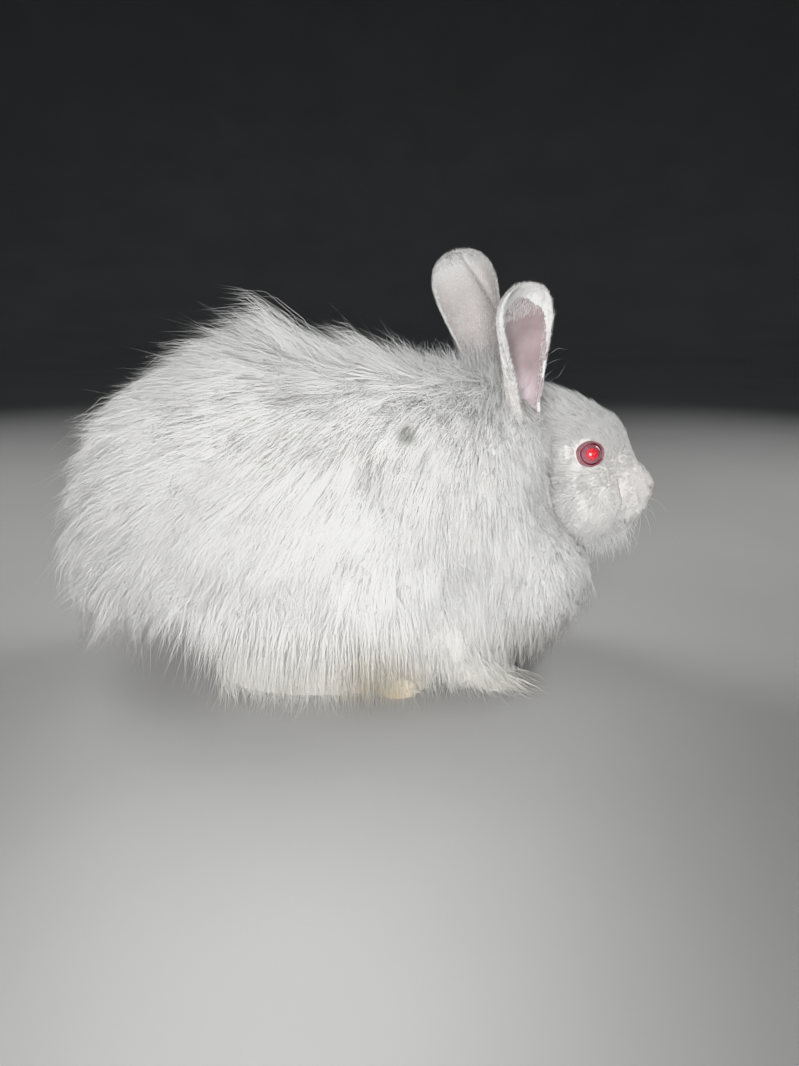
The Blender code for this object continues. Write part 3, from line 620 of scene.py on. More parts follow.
# Dents in the head's skin, by what they are: points of a crease, its depth and half its width
CREASES = {
    "muzzle": (
        ((0.1823, 0.0190, 0.1311), (0.1809, 0.0190, 0.1220), (0.1796, 0.0190, 0.1105)), 0.0030, 0.0024),
    "mouth": (((0.1990, 0.0, 0.1050), (0.1950, 0.0045, 0.1035), (0.1890, 0.0090, 0.1025),
               (0.1815, 0.0125, 0.1032), (0.1755, 0.0150, 0.1052)), 0.0022, 0.0013),
    "split_lip": (((0.2060, 0.0, 0.1190), (0.2035, 0.0, 0.1120), (0.1990, 0.0, 0.1050)), 0.0020, 0.0011),
    "nostril": (((0.2050, 0.0032, 0.1215), (0.2020, 0.0058, 0.1235)), 0.0024, 0.0011),
    "tear_line": (((0.1615, 0.0280, 0.1479), (0.1686, 0.0265, 0.1409)), 0.0010, 0.0010),
    "under_nose": (((0.2035, 0.0, 0.1088), (0.1995, 0.0075, 0.1075)), 0.0050, 0.0023),
    "over_chin": (((0.2015, 0.0, 0.1050), (0.1970, 0.0070, 0.1040)), 0.0018, 0.0030),
}


def on_head(points, level=0.0):
    centre = np.array(HEAD_CENTRE)
    return cast_to_level(unit(np.array(points) - centre), centre, head_field, level)


def skin_line(path, side):
    """A path of points cast onto the head's skin, on one side."""
    return on_head([mirror(point, side) for point in path], HEAD_SKIN_LEVEL)


def distance_to_path(points, path):
    """The distance from each point to the nearest place on a line through the path."""
    best = np.full(len(points), 1.0)
    for start, end in zip(path, path[1:]):
        along = end - start
        share = np.clip((points - start) @ along / (along @ along), 0.0, 1.0)
        best = np.minimum(best, np.linalg.norm(points - start - share[:, None] * along, axis=1))
    return best


CREASE_REACH = 0.008


def beside_path(points, path):
    """The distance from the points to a line on the head, where their depth under it doesn't count."""
    best = np.full(len(points), 1.0)
    for start, end, normal in zip(path, path[1:], field_normals(path, head_field)):
        offset = points - start
        depth = offset @ normal
        offset = offset - depth[:, None] * normal
        along = end - start - normal * ((end - start) @ normal)
        share = np.clip(offset @ along / (along @ along), 0.0, 1.0)
        away = np.linalg.norm(offset - share[:, None] * along, axis=1)
        best = np.minimum(best, np.where(np.abs(depth) < CREASE_REACH, away, 1.0))
    return best


def from_lines(points, *names):
    """The distance over the skin from the points to the nearest of the named creases."""
    best = np.full(len(points), 1.0)
    for name in names:
        for side in BOTH:
            best = np.minimum(best, beside_path(points, skin_line(CREASES[name][0], side)))
    return best


def crease_depth(points):
    """How far the head's skin is pressed in at the points."""
    depth = np.zeros(len(points))
    for path, deep, half_width in CREASES.values():
        for side in BOTH:
            away = distance_to_path(points, skin_line(path, side))
            depth = np.maximum(depth, deep * bell(away, 0.0, half_width))
    return depth


def head_skin():
    points, triangles = cast_ball(HEAD_CENTRE, head_field, HEAD_SKIN_LEVEL, 7)
    normals = field_normals(points, head_field)
    relief = 0.0004 * waves(points, 0.012, 31) + 0.0002 * waves(points, 0.005, 32)
    points = points + normals * (relief - crease_depth(points))[:, None]
    return points, triangles


# How far the core is pressed in where it runs near the head's skin, by its height over the skin
NEAR_HEAD = (-0.0045, 0.0, 0.004)
PRESSED_IN = (0.0, 0.0045, 0.0)


def body_core():
    points, triangles = cast_ball(BODY_CENTRE, core_field, 0.0, 6)
    points = above_floor(points, CORE_FLOOR)
    pressed = np.interp(head_field(points), NEAR_HEAD, PRESSED_IN)
    return points - field_normals(points, head_field) * pressed[:, None], triangles


def ear_section(share):
    """Half the arc and the radius of the ear's cup at a share of its length, and how far its hood leans
    over."""
    half_arc = float(np.interp(share, EAR_STATIONS, EAR_HALF_ARCS))
    radius = float(np.interp(share, EAR_STATIONS, EAR_RADII))
    if share <= EAR_ROUND_FROM:
        return half_arc, radius, 0.0
    past = (share - EAR_ROUND_FROM) / (1 - EAR_ROUND_FROM)
    depth = radius * (1 - math.cos(half_arc / radius))
    half_arc *= max(math.sqrt(max(1 - past**EAR_ROUND_POWER, 0.0)), EAR_TIP_SHARE)
    return half_arc, radius, EAR_HOOD * (depth - radius * (1 - math.cos(half_arc / radius)))


def summed(slopes, step):
    """The running sum of the slopes across an ear, from 0 in its middle."""
    total = np.concatenate([[0.0], np.cumsum((slopes[1:] + slopes[:-1]) / 2 * step)])
    return total - total[EAR_COLUMNS // 2]


def ear_relief(share, places, fold):
    """How far a row of the ear is pressed to its back: the channel with the ridge beside it, less the
    fold."""
    channel = np.interp(share, EAR_CHANNEL_PLACES, EAR_CHANNEL_DEPTHS)
    dip = 0.0016 * bell(places, 0.10, 0.16) - 0.0009 * bell(places, 0.42, 0.14)
    fold_at = np.interp(share, (0.50, 0.95), (0.92, 0.25))
    groove = fold * FOLD_DEPTH * bell(places * FOLD_SIDE, fold_at, 0.10)
    return channel * dip - groove * np.interp(share, FOLD_PLACES, FOLD_SHARES)


def ear_grid(ear):
    """The middle of the ear as a grid of points, with the normals of its convex side, by row and column."""
    base, middle, tip, opening = (np.array(value) for value in ear[:4])
    places = np.linspace(-1.0, 1.0, EAR_COLUMNS)
    past_roll = np.clip((np.abs(places) - EAR_ROLL_FROM) / (1 - EAR_ROLL_FROM), 0.0, 1.0)
    points = np.zeros((EAR_ROWS, EAR_COLUMNS, 3))
    normals = np.zeros_like(points)
    for row in range(EAR_ROWS):
        share = 1 - (1 - row / (EAR_ROWS - 1)) ** EAR_ROW_SPACING
        half_arc, radius, hood = ear_section(share)
        lower, upper = base + (middle - base) * share, middle + (tip - middle) * share
        axis = unit(upper - lower)
        out = unit(opening - axis * (opening @ axis))
        side = np.cross(axis, out)
        turn = places * half_arc / radius + EAR_ROLL * np.sign(places) * past_roll**2 * min(share * 3, 1.0)
        step = half_arc * 2 / (EAR_COLUMNS - 1)
        across, inward = summed(np.cos(turn), step), summed(np.sin(turn), step)
        centre = lower + (upper - lower) * share + out * hood
        normals[row] = side * np.sin(turn)[:, None] - out * np.cos(turn)[:, None]
        points[row] = centre + side * across[:, None] + out * inward[:, None]
        points[row] += normals[row] * ear_relief(share, places, ear[4])[:, None]
    return points, normals


def rear_first(points):
    """One where the first column of an ear's grid is its rear edge, and minus one where it is the front
    edge."""
    half = EAR_ROWS // 2
    return 1.0 if points[half, -1, 0] > points[half, 0, 0] else -1.0


def ear_rim(points):
    """The places of an ear's grid that its white rim covers on the inside."""
    spaced = 1 - np.linspace(1, 0, EAR_ROWS) ** EAR_ROW_SPACING
    places, shares = np.meshgrid(np.linspace(-1, 1, EAR_COLUMNS), spaced)
    ripple = 0.010 * waves(points.reshape(-1, 3), 0.010, 33).reshape(places.shape)
    places = places * rear_first(points) + ripple
    across = (places - RIM_CENTRE) / np.interp(shares, (0.0, 0.35, 0.7), RIM_HALF_WIDTHS)
    along = np.maximum(shares - RIM_ROUND_FROM, 0.0) / RIM_ROUND
    return (across**2 + along**2 > 1).ravel()


def ear_shell(points, normals):
    """A closed thin shell round the ear's grid, thinner towards the edges."""
    rows, columns = points.shape[:2]
    from_edge = 1 - np.abs(np.linspace(-1, 1, columns))
    from_tip = 1 - np.linspace(0, 1, rows)
    ease = np.minimum(np.minimum(from_edge[None, :] * 3, from_tip[:, None] * 8), 1.0)
    half = (EAR_THICK_EDGE + (EAR_THICK_MIDDLE - EAR_THICK_EDGE) * ease)[..., None] / 2
    outer, inner = points + normals * half, points - normals * half
    verts = np.concatenate([outer.reshape(-1, 3), inner.reshape(-1, 3)])
    index = np.arange(rows * columns).reshape(rows, columns)
    back = index + rows * columns
    faces = []
    for row in range(rows - 1):
        for column in range(columns - 1):
            a, b = index[row, column : column + 2]
            d, c = index[row + 1, column : column + 2]
            faces.append((d, c, b, a))
            a, d = back[row, column : column + 2]
            b, c = back[row + 1, column : column + 2]
            faces.append((d, c, b, a))
    border = list(index[0, :]) + list(index[1:, -1]) + list(index[-1, -2::-1]) + list(index[-2:0:-1, 0])
    behind = list(back[0, :]) + list(back[1:, -1]) + list(back[-1, -2::-1]) + list(back[-2:0:-1, 0])
    for place in range(len(border)):
        following = (place + 1) % len(border)
        faces.append((border[place], border[following], behind[following], behind[place]))
    return verts, faces


def ellipsoid(name, centre, radii, collection, segments=24, rings=14):
    bm = bmesh.new()
    bmesh.ops.create_uvsphere(bm, u_segments=segments, v_segments=rings, radius=1.0)
    for vert in bm.verts:
        vert.co = Vector([vert.co[axis] * radii[axis] + centre[axis] for axis in range(3)])
        vert.co.z = max(vert.co.z, CORE_FLOOR / 4)
    return object_from_bmesh(name, bm, collection)


def tube(name, path, radii, collection, sides=16):
    """A closed tube through the path with a radius at each point."""
    bm = bmesh.new()
    path = [Vector(point) for point in path]
    rings = []
    for index, (point, radius) in enumerate(zip(path, radii)):
        ahead = (path[min(index + 1, len(path) - 1)] - path[max(index - 1, 0)]).normalized()
        side = ahead.cross(Vector((0.0, 0.0, 1.0))).normalized()
        rings.append(ring_of(bm, point, side, side.cross(ahead), radius, sides))
    bridge(bm, rings)
    bm.faces.new(list(reversed(rings[0])))
    bm.faces.new(rings[-1])
    bmesh.ops.recalc_face_normals(bm, faces=bm.faces)
    return object_from_bmesh(name, bm, collection)


def smooth_path(points, count):
    """Points evenly spaced in parameter on a curve through the given ones."""
    points = np.array(points)
    knots = np.linspace(0, len(points) - 1, count)
    padded = np.vstack([2 * points[0] - points[1], points, 2 * points[-1] - points[-2]])
    made = []
    for knot in knots:
        first = min(int(knot), len(points) - 2)
        t = knot - first
        a, b, c, d = padded[first : first + 4]
        bend = (2 * a - 5 * b + 4 * c - d) * t**2 + (3 * b - a - 3 * c + d) * t**3
        made.append(0.5 * (2 * b + (c - a) * t + bend))
    return np.array(made)


def leg_parts(scratch):
    """Forelegs, paws, hind feet and toes as closed forms, on both sides."""
    parts = []
    for side in BOTH:
        path = smooth_path([mirror(point, side) for point in FORE_PATH], 10)
        radii = np.interp(np.linspace(0, 3, 10), range(4), FORE_RADII)
        parts.append(tube("foreleg", path, radii, scratch))
        parts.append(ellipsoid("paw", mirror(PAW_CENTRE, side), PAW_RADII, scratch))
        for x, y in FORE_TOES:
            centre = (x, (PAW_CENTRE[1] + y) * side, FORE_TOE_RADII[2] * 0.85)
            parts.append(ellipsoid("toe", centre, FORE_TOE_RADII, scratch, 14, 10))
        parts.append(ellipsoid("foot", mirror(FOOT_CENTRE, side), FOOT_RADII, scratch, 32, 18))
        for x, y in HIND_TOES:
            centre = (x, (FOOT_CENTRE[1] + y) * side, TOE_RADII[2] * 0.85)
            parts.append(ellipsoid("toe", centre, TOE_RADII, scratch, 16, 12))
    return parts


def unite(target, others, collection):
    """One Boolean union of the target with closed objects, which are then removed."""
    holder = bpy.data.collections.new("union")
    bpy.context.scene.collection.children.link(holder)
    for other in others:
        collection.objects.unlink(other)
        holder.objects.link(other)
    modifier = target.modifiers.new("union", "BOOLEAN")
    modifier.operation = "UNION"
    modifier.operand_type = "COLLECTION"
    modifier.collection = holder
    modifier.solver = "MANIFOLD"
    bpy.context.view_layer.update()
    graph = bpy.context.evaluated_depsgraph_get()
    mesh = bpy.data.meshes.new_from_object(target.evaluated_get(graph))
    target.modifiers.clear()
    target.data = mesh
    for other in others:
        bpy.data.objects.remove(other)
    bpy.data.collections.remove(holder)
    return target


# The skin's zones, by the order of its materials
SKIN, EAR_INSIDE, NOSE, EAR_BACK, UNDER_WOOL = range(5)
EARS_ABOVE = 0.165
NEAR_EAR = 0.004


def paint_ears(zones, centres, normals, ear_grids):
    """The inside of each ear with its white rim, and the places of the backs."""
    points = np.concatenate([grid.reshape(-1, 3) for grid, _ in ear_grids])
    outward = np.concatenate([ways.reshape(-1, 3) for _, ways in ear_grids])
    on_rim = np.concatenate([ear_rim(grid) for grid, _ in ear_grids])
    tree = KDTree(len(points))
    for index, point in enumerate(points):
        tree.insert(point, index)
    tree.balance()
    backs = []
    for face in np.flatnonzero((centres[:, 2] > EARS_ABOVE) & (head_field(centres) > 0.0004)):
        _, found, away = tree.find(centres[face])
        if away >= NEAR_EAR:
            continue
        if outward[found] @ normals[face] >= 0.15:
            backs.append(face)
        else:
            zones[face] = UNDER_WOOL if on_rim[found] else EAR_INSIDE
    return backs


def paint_zones(skin, ear_grids, materials):
    """Gives the faces of the ears, of the nostrils, lips and creases, and under the wool their own
    materials."""
    skin.data.materials.clear()
    for made in materials:
        skin.data.materials.append(made)
    count = len(skin.data.polygons)
    centres, normals = np.zeros(count * 3), np.zeros(count * 3)
    skin.data.polygons.foreach_get("center", centres)
    skin.data.polygons.foreach_get("normal", normals)
    centres, normals = centres.reshape(-1, 3), normals.reshape(-1, 3)
    zones = np.full(count, SKIN)
    backs = paint_ears(zones, centres, normals, ear_grids)
    for side in BOTH:
        for name, points, reach in (("split_lip", 3, 0.0014), ("nostril", 2, 0.0022), ("mouth", 3, 0.0012)):
            zones[distance_to_path(centres, skin_line(CREASES[name][0][:points], side)) < reach] = NOSE
    zones[backs] = EAR_BACK
    # The darker skin of the ear's back along the muzzle's crease is painted shade in the crease; it also
    # darkens the tear line
    for name, reach in (("muzzle", 0.0007), ("tear_line", 0.0006)):
        zones[from_lines(centres, name) < reach] = EAR_BACK
    core, over_head = core_field(centres), head_field(centres)
    collar = (zones == SKIN) & (core > -0.0060) & (core < 0.0006) & (over_head > 0.0010)
    zones[(np.abs(core) < 0.0006) & (over_head > 0.0040) | collar] = UNDER_WOOL
    skin.data.polygons.foreach_set("material_index", zones)


# Strands


def strands(name, stations, ups, widths, spots, across, made):
    """One mesh of closed, tapered, three-sided strands.

    stations is (strand, ring, axis), with the tip last; ups and widths have one entry for each ring.
    spots and across place each strand in the map: its tuft's patch, and its own place over the patch.
    """
    count, rings = len(stations), stations.shape[1] - 1
    ways = unit(np.diff(stations, axis=1))
    sides = unit(np.cross(ways, ups))
    overs = np.cross(sides, ways)
    corners = []
    for turn in (0.5 * math.pi, 7 / 6 * math.pi, 11 / 6 * math.pi):
        way = sides * math.cos(turn) + overs * math.sin(turn)
        corners.append(stations[:, :rings] + way * widths[..., None])
    verts = np.stack(corners, axis=2).reshape(count, rings * 3, 3)
    verts = np.concatenate([verts, stations[:, -1:]], axis=1)
    verts[..., 2] = np.maximum(verts[..., 2], WOOL_FLOOR / 2)
    pattern = [(0, 1, 2)]
    for ring in range(rings - 1):
        for corner in range(3):
            after = (corner + 1) % 3
            low, high = ring * 3, ring * 3 + 3
            pattern.append((low + corner, high + after, low + after))
            pattern.append((low + corner, high + corner, high + after))
    last = (rings - 1) * 3
    for corner in range(3):
        pattern.append((last + corner, rings * 3, last + (corner + 1) % 3))
    pattern = np.array(pattern)
    per_strand = rings * 3 + 1
    faces = (np.arange(count)[:, None, None] * per_strand + pattern[None]).reshape(-1, 3)
    mesh = bpy.data.meshes.new(name)
    mesh.vertices.add(count * per_strand)
    mesh.vertices.foreach_set("co", verts.astype(np.float32).ravel())
    mesh.loops.add(faces.size)
    mesh.loops.foreach_set("vertex_index", faces.astype(np.int32).ravel())
    mesh.polygons.add(len(faces))
    mesh.polygons.foreach_set("loop_start", np.arange(0, faces.size, 3, dtype=np.int32))
    mesh.polygons.foreach_set("use_smooth", np.ones(len(faces), bool))
    mesh.update(calc_edges=True)
    along = np.concatenate([np.repeat(np.linspace(0, 1, rings + 1)[:-1], 3), [1.0]]) - 0.5
    sideways = np.concatenate([np.tile((-0.12, 0.0, 0.12), rings), [0.0]])
    u = spots[:, None, 0] + TUFT_PATCH * (across[:, None] * 0.7 + sideways[None])
    v = spots[:, None, 1] + TUFT_PATCH * np.broadcast_to(along, u.shape)
    corners_uv = np.stack([u.reshape(-1)[faces.ravel()], v.reshape(-1)[faces.ravel()]], axis=1)
    layer = mesh.uv_layers.new(name="OFBake")
    layer.uv.foreach_set("vector", corners_uv.astype(np.float32).ravel())
    mesh.materials.append(made)
    piece = bpy.data.objects.new(name, mesh)
    coat.objects.link(piece)
    return piece


def chosen_strands(name, chosen, rings, stations, ups, widths, spots, across, made):
    """The chosen strands as a piece, with only the given rings and the last ring as the tip."""
    widths, ups = widths[chosen][:, rings[:-1]], ups[chosen][:, rings[:-1]]
    return strands(name, stations[chosen][:, rings], ups, widths, spots[chosen], across[chosen], made)


def ball_unwrap(points, centre):
    """Places on a map that goes round the X axis and along it, from the front to the back."""
    ways = unit(points - np.array(centre))
    round_x = np.arctan2(ways[:, 1], -ways[:, 2]) / WHOLE_TURN + 0.5
    along = np.arccos(np.clip(ways[:, 0], -1, 1)) / math.pi
    return np.stack([0.01 + 0.98 * round_x, 0.01 + 0.98 * along], axis=1)


def scatter(points, triangles, count, chance, weight=None):
    """Random places over a mesh, evenly by area or by a weight for each triangle."""
    a, b, c = (points[triangles[:, corner]] for corner in range(3))
    area = np.linalg.norm(np.cross(b - a, c - a), axis=1)
    if weight is not None:
        area = area * weight((a + b + c) / 3)
    picked = chance.choice(len(triangles), count, p=area / area.sum())
    first, second = chance.random((2, count))
    fold = first + second > 1
    first, second = np.where(fold, 1 - first, first), np.where(fold, 1 - second, second)
    return a[picked] + (b - a)[picked] * first[:, None] + (c - a)[picked] * second[:, None]


def wool_lie(points, normals):
    """Unit directions along the surface in which the wool lies."""
    rearward = np.interp(points[:, 0], LIE_PLACES, LIE_REARWARD)
    rearward = rearward * np.interp(points[:, 2], LIE_DROOP_HEIGHTS, (LIE_DROOP_SHARE, 1.0))
    rearward = rearward + LIE_FLAT_ON_TOP * np.maximum(normals[:, 2], 0.0)
    way = unit(np.stack([-rearward, np.zeros(len(points)), -np.ones(len(points))], axis=1))
    hug = np.interp(normals[:, 2], HANG_NORMALS, (0.0, 1.0))[:, None]
    return unit(way - hug * normals * np.sum(way * normals, axis=1, keepdims=True))


def clear_of_head(points, room):
    """Points nearer the head than the room are moved out of it."""
    push = np.clip(room - head_field(points), 0.0, 0.03)
    touched = push > 0
    if touched.any():
        points[touched] += field_normals(points[touched], head_field) * push[touched, None]
    return points


# Wool: rings of a strand, as shares of its run and of its climb from the skin to the coat's surface
WOOL_SHARES = (0.0, 0.36, 0.70, 1.0)
WOOL_CLIMBS = (0.0, 0.50, 0.84, 1.0)
WOOL_RUN = 0.050
WOOL_TUFTS = 5060
WOOL_LOCKS = 700
STRANDS_IN_TUFT = 9
TUFT_RADIUS = 0.0046
UNDER_SHARE = 0.72
LOOSE_SHARE = 0.34
LOOSE_WIDTH = 0.62
WOOL_WIDTHS = (0.00022, 0.00019, 0.00013)
WOOL_SEED = 11
# Pieces of wool by place along the body; the strands under the surface have one ring fewer
WOOL_BANDS = (-0.125, -0.055, 0.020)
WOOL_BAND_NAMES = ("rump", "loin", "flank", "shoulder")
WOOL_LAYERS = (("top", [0, 1, 2, 3]), ("under", [0, 1, 3]))
# How far the wool of the sides stands past the coat's smooth surface, and where it is drawn in
SIDE_REACH = 0.0055
WIDE_FROM = 0.097


def walk_wool(roots, run, tip_level, yaw):
    """Paths that climb from the roots to the tip level while they follow the lie, turned by yaw."""
    points = roots.copy()
    normals = field_normals(points, body_field)
    start = body_field(points)
    paths, ups = [points.copy()], []
    for share, following, climb in zip(WOOL_SHARES, WOOL_SHARES[1:], WOOL_CLIMBS[1:]):
        lie = swung(wool_lie(points, normals), normals, yaw)
        ups.append(normals)
        points = points + lie * (run * (following - share))[:, None]
        level = start + (tip_level - start) * climb
        normals = field_normals(points, body_field)
        hug = np.interp(normals[:, 2], HANG_NORMALS, (0.0, 1.0))
        points = points + normals * (hug * (level - body_field(points)))[:, None]
        points = above_floor(clear_of_head(points, 0.0035 * following))
        paths.append(points.copy())
    return np.stack(paths, axis=1), np.stack(ups, axis=1)


def tuft_lift(points, normals):
    """How far past the coat's surface the loose tufts of the back and nape stand."""
    back = 0.014 * bell(points[:, 0], -0.045, 0.028)
    nape = 0.008 * bell(points[:, 0], 0.045, 0.035)
    return (back + nape) * np.clip(normals[:, 2], 0.0, 1.0) ** 2


def wool_guides(roots, chance):
    """The middle lines of tufts from their roots, more restless on the rump."""
    count = len(roots)
    normals = field_normals(roots, body_field)
    share = wool_share(roots)
    run = WOOL_RUN * chance.uniform(0.80, 1.15, count) * (0.42 + 0.58 * share)
    swell = waves(roots, 0.030, 41) * np.interp(roots[:, 2], (0.03, 0.10), (0.0042, 0.0020))
    tip = -0.0040 + swell + chance.uniform(-0.003, 0.003, count) + tuft_lift(roots, normals)
    restless = np.interp(roots[:, 0], (-0.14, -0.06), (1.0, 0.45))
    yaw = restless * (0.20 * waves(roots, 0.055, 42) + 0.14 * waves(roots, 0.022, 43))
    yaw = yaw + chance.normal(0, 0.07, count)
    return walk_wool(roots, run, tip, yaw)


def held_in(points):
    """Points of the sides that are past the coat's reach, drawn back to it."""
    past = body_field(points) - SIDE_REACH
    out = np.flatnonzero(past > 0)
    normals = field_normals(points[out], body_field)
    sideways = np.clip(np.abs(normals[:, 1]) * 1.6 - 0.5, 0.0, 1.0)
    points[out] -= normals * (past[out] * sideways * 0.85)[:, None]
    return narrowed(points)


def narrowed(points):
    """Points far out to the sides, drawn in to the width of the coat."""
    past = np.maximum(np.abs(points[:, 1]) - WIDE_FROM, 0.0)
    points[:, 1] -= np.sign(points[:, 1]) * past * 0.55
    return points


# Ellipsoids round the foot and the paw that wool stays out of
FOOT_ROOM = (0.068, 0.0185, 0.0190)
PAW_ROOM = (0.024, 0.0150, 0.0130)


def clear_of_feet(points):
    """Points inside the feet are moved out of them, sideways and up."""
    for side in BOTH:
        for centre, radii in ((FOOT_CENTRE, FOOT_ROOM), (PAW_CENTRE, PAW_ROOM)):
            offset = (points - np.array(mirror(centre, side))) / np.array(radii)
            reach = np.linalg.norm(offset, axis=1)
            inside = reach < 1
            outward = offset[inside] + np.array((0.0, 0.6 * side, 0.3)) * (1 - reach[inside])[:, None]
            points[inside] = unit(outward) * np.array(radii) + np.array(mirror(centre, side))
    return points


def wool_roots(places, clear):
    """Where wool grows: not on the underside, nor nearer the head than the clear distance."""
    normals = field_normals(places, body_field)
    return (normals[:, 2] > LOWEST_ROOT_NORMAL) & (head_field(places) > clear)


def locked_guides(core, usable, chance):
    """Guides of tufts with their roots, drawn together to the guides of the locks."""
    roots = scatter(*core, WOOL_TUFTS, chance, usable)
    paths, ups = wool_guides(roots, chance)
    lock_roots = scatter(*core, WOOL_LOCKS, chance, usable)
    lock_paths, _ = wool_guides(lock_roots, chance)
    pull = np.interp(roots[:, 0], (-0.16, -0.05, 0.08), (0.48, 0.14, 0.12))
    pull = pull + np.interp(roots[:, 2], (0.03, 0.08), (0.16, 0.0))
    grip = pull[:, None] * (np.array(WOOL_SHARES) ** 1.6)[None]
    return roots, paths + (lock_paths[nearest_leader(lock_roots, roots)] - paths) * grip[..., None], ups


def tuft_strands(paths, ups, chance):
    """Strands round the tufts' guides: most draw together to the tip, and loose ones stray."""
    tuft = np.repeat(np.arange(WOOL_TUFTS), STRANDS_IN_TUFT)
    count = len(tuft)
    normal = ups[:, 0][tuft]
    side = unit(np.cross(normal, unit(paths[:, 1] - paths[:, 0])[tuft]))
    size = TUFT_RADIUS * np.sqrt(chance.random(count))
    spread = size * np.repeat(chance.uniform(0.8, 1.25, WOOL_TUFTS), STRANDS_IN_TUFT)
    turn = chance.uniform(0, WHOLE_TURN, count)
    depth = chance.uniform(-0.35, 0.35, count)
    over = np.cross(side, normal)
    offset = side * (spread * np.cos(turn))[:, None] + over * (spread * np.sin(turn))[:, None]
    loose = chance.random(count) < LOOSE_SHARE
    hold = np.where(loose, chance.uniform(-0.2, 0.3, count), chance.uniform(0.30, 0.70, count))
    shares = np.array(WOOL_SHARES)
    keep = 1 - hold[:, None] * shares[None] ** 1.3
    stations = paths[tuft] + offset[:, None] * keep[..., None]
    stations += normal[:, None] * (depth * spread)[:, None, None] * shares[None, :, None]
    stray = np.where(loose, 0.0042, 0.0012)
    stations += chance.normal(size=(count, 4, 3)) * (stray[:, None] * shares[None] ** 1.5)[..., None]
    length = np.where(loose, chance.uniform(0.75, 1.20, count), chance.uniform(0.70, 1.08, count))
    long_ends = (chance.random(count) < 0.16) & (stations[:, 0, 0] < -0.10)
    length = np.where(long_ends, chance.uniform(1.12, 1.30, count), length)
    stretch = 1 + (length[:, None] - 1) * shares[None]
    stations = stations[:, :1] + (stations - stations[:, :1]) * stretch[..., None]
    flat = above_floor(clear_of_feet(clear_of_head(held_in(stations.reshape(-1, 3)), 0.0025)))
    widths = np.array(WOOL_WIDTHS)[None] * np.where(loose, LOOSE_WIDTH, 1.0)[:, None]
    return tuft, flat.reshape(stations.shape), widths * chance.uniform(0.8, 1.2, (count, 1))


def make_wool(core, made):
    """Tufts of strands that climb from the core, drawn together in locks, in pieces by place on the body."""
    chance = np.random.default_rng(WOOL_SEED)
    roots, paths, ups = locked_guides(
        core, lambda places: np.interp(places[:, 0], (0.070, 0.110), (1.0, 1.7)) * wool_roots(places, 0.001),
        chance)
    tuft, stations, widths = tuft_strands(paths, ups, chance)
    ups, places, spots = ups[tuft], roots[tuft], ball_unwrap(roots, BODY_CENTRE)[tuft]
    across = chance.uniform(-0.5, 0.5, len(tuft))
    under = chance.random(len(tuft)) < UNDER_SHARE
    bands = np.digitize(places[:, 0], WOOL_BANDS)
    pieces = []
    for band, label in enumerate(WOOL_BAND_NAMES):
        for word, side in SIDES:
            here = (bands == band) & ((places[:, 1] < 0) == (side < 0))
            for layer, rings in WOOL_LAYERS:
                chosen = here & (under == (layer == "under"))
                pieces.append(chosen_strands(f"wool_{layer}_{label}_{word}", chosen,
                                             rings, stations, ups, widths, spots, across, made))
    return pieces


# Fuzz: fine straight hairs among the tips of the tufts, rooted below the coat's surface
FUZZ_COUNT = 71000
FUZZ_ROOT_LEVELS = (-0.022, -0.007)
FUZZ_LENGTHS = (0.009, 0.023)
FUZZ_RADIUS = 0.00015
FUZZ_SEED = 13


def make_fuzz(core, made):
    """Fine hairs that blur the tufts into one soft surface."""
    chance = np.random.default_rng(FUZZ_SEED)
    base = scatter(*core, FUZZ_COUNT, chance, lambda places: 1.0 * wool_roots(places, 0.003))
    normals = field_normals(base, body_field)
    share = wool_share(base)
    level = between(FUZZ_ROOT_LEVELS, chance, FUZZ_COUNT) * share
    roots = base + normals * (level - body_field(base))[:, None]
    normals = field_normals(roots, body_field)
    yaw = 0.25 * waves(roots, 0.050, 44) + 0.20 * waves(roots, 0.016, 45)
    lie = swung(wool_lie(roots, normals), normals, yaw)
    hug = np.interp(normals[:, 2], HANG_NORMALS, (0.2, 1.0))
    rise = chance.uniform(0.05, 0.62, FUZZ_COUNT) * hug
    ways = unit(lie + normals * rise[:, None] + chance.normal(size=(FUZZ_COUNT, 3)) * 0.20)
    length = between(FUZZ_LENGTHS, chance, FUZZ_COUNT, 1.4) * (0.4 + 0.6 * share)
    tips = above_floor(clear_of_feet(clear_of_head(held_in(roots + ways * length[:, None]), 0.0015)))
    stations = np.stack([above_floor(roots, WOOL_FLOOR * 3), tips], axis=1)
    widths = FUZZ_RADIUS * chance.uniform(0.7, 1.2, (FUZZ_COUNT, 1))
    ups = normals[:, None]
    spots = ball_unwrap(base, BODY_CENTRE)
    across = chance.uniform(-0.5, 0.5, FUZZ_COUNT)
    bands = np.digitize(base[:, 0], WOOL_BANDS)
    pieces = []
    for band, label in enumerate(WOOL_BAND_NAMES):
        for word, side in SIDES:
            chosen = (bands == band) & ((base[:, 1] < 0) == (side < 0))
            pieces.append(chosen_strands(f"wool_fuzz_{label}_{word}", chosen, [0, 1], stations, ups,
                                         widths, spots, across, made))
    return pieces


# Free hairs: wool of the nape, wisps, pointed locks, hem, tufts of the paws and the fringe of the jaw
DOWN = (0.0, 0.0, -1.0)
FREE_TAPER = (1.0, 0.9, 0.65)


def bent_strands(roots, directions, lengths, sag, curl, chance, clear=0.002):
    """Stations of free hairs that leave the roots in the given directions, sag and curl."""
    bend = chance.normal(size=(len(roots), 3)) * curl
    stations = [roots]
    for share in WOOL_SHARES[1:]:
        drop = np.array(DOWN) * (sag * lengths * share**2)[:, None]
        sway = bend * (lengths * math.sin(math.pi * 0.8 * share))[:, None]
        point = roots + directions * (lengths * share)[:, None] + drop + sway
        stations.append(above_floor(clear_of_feet(narrowed(clear_of_head(point, clear * share)))))
    return np.stack(stations, axis=1)


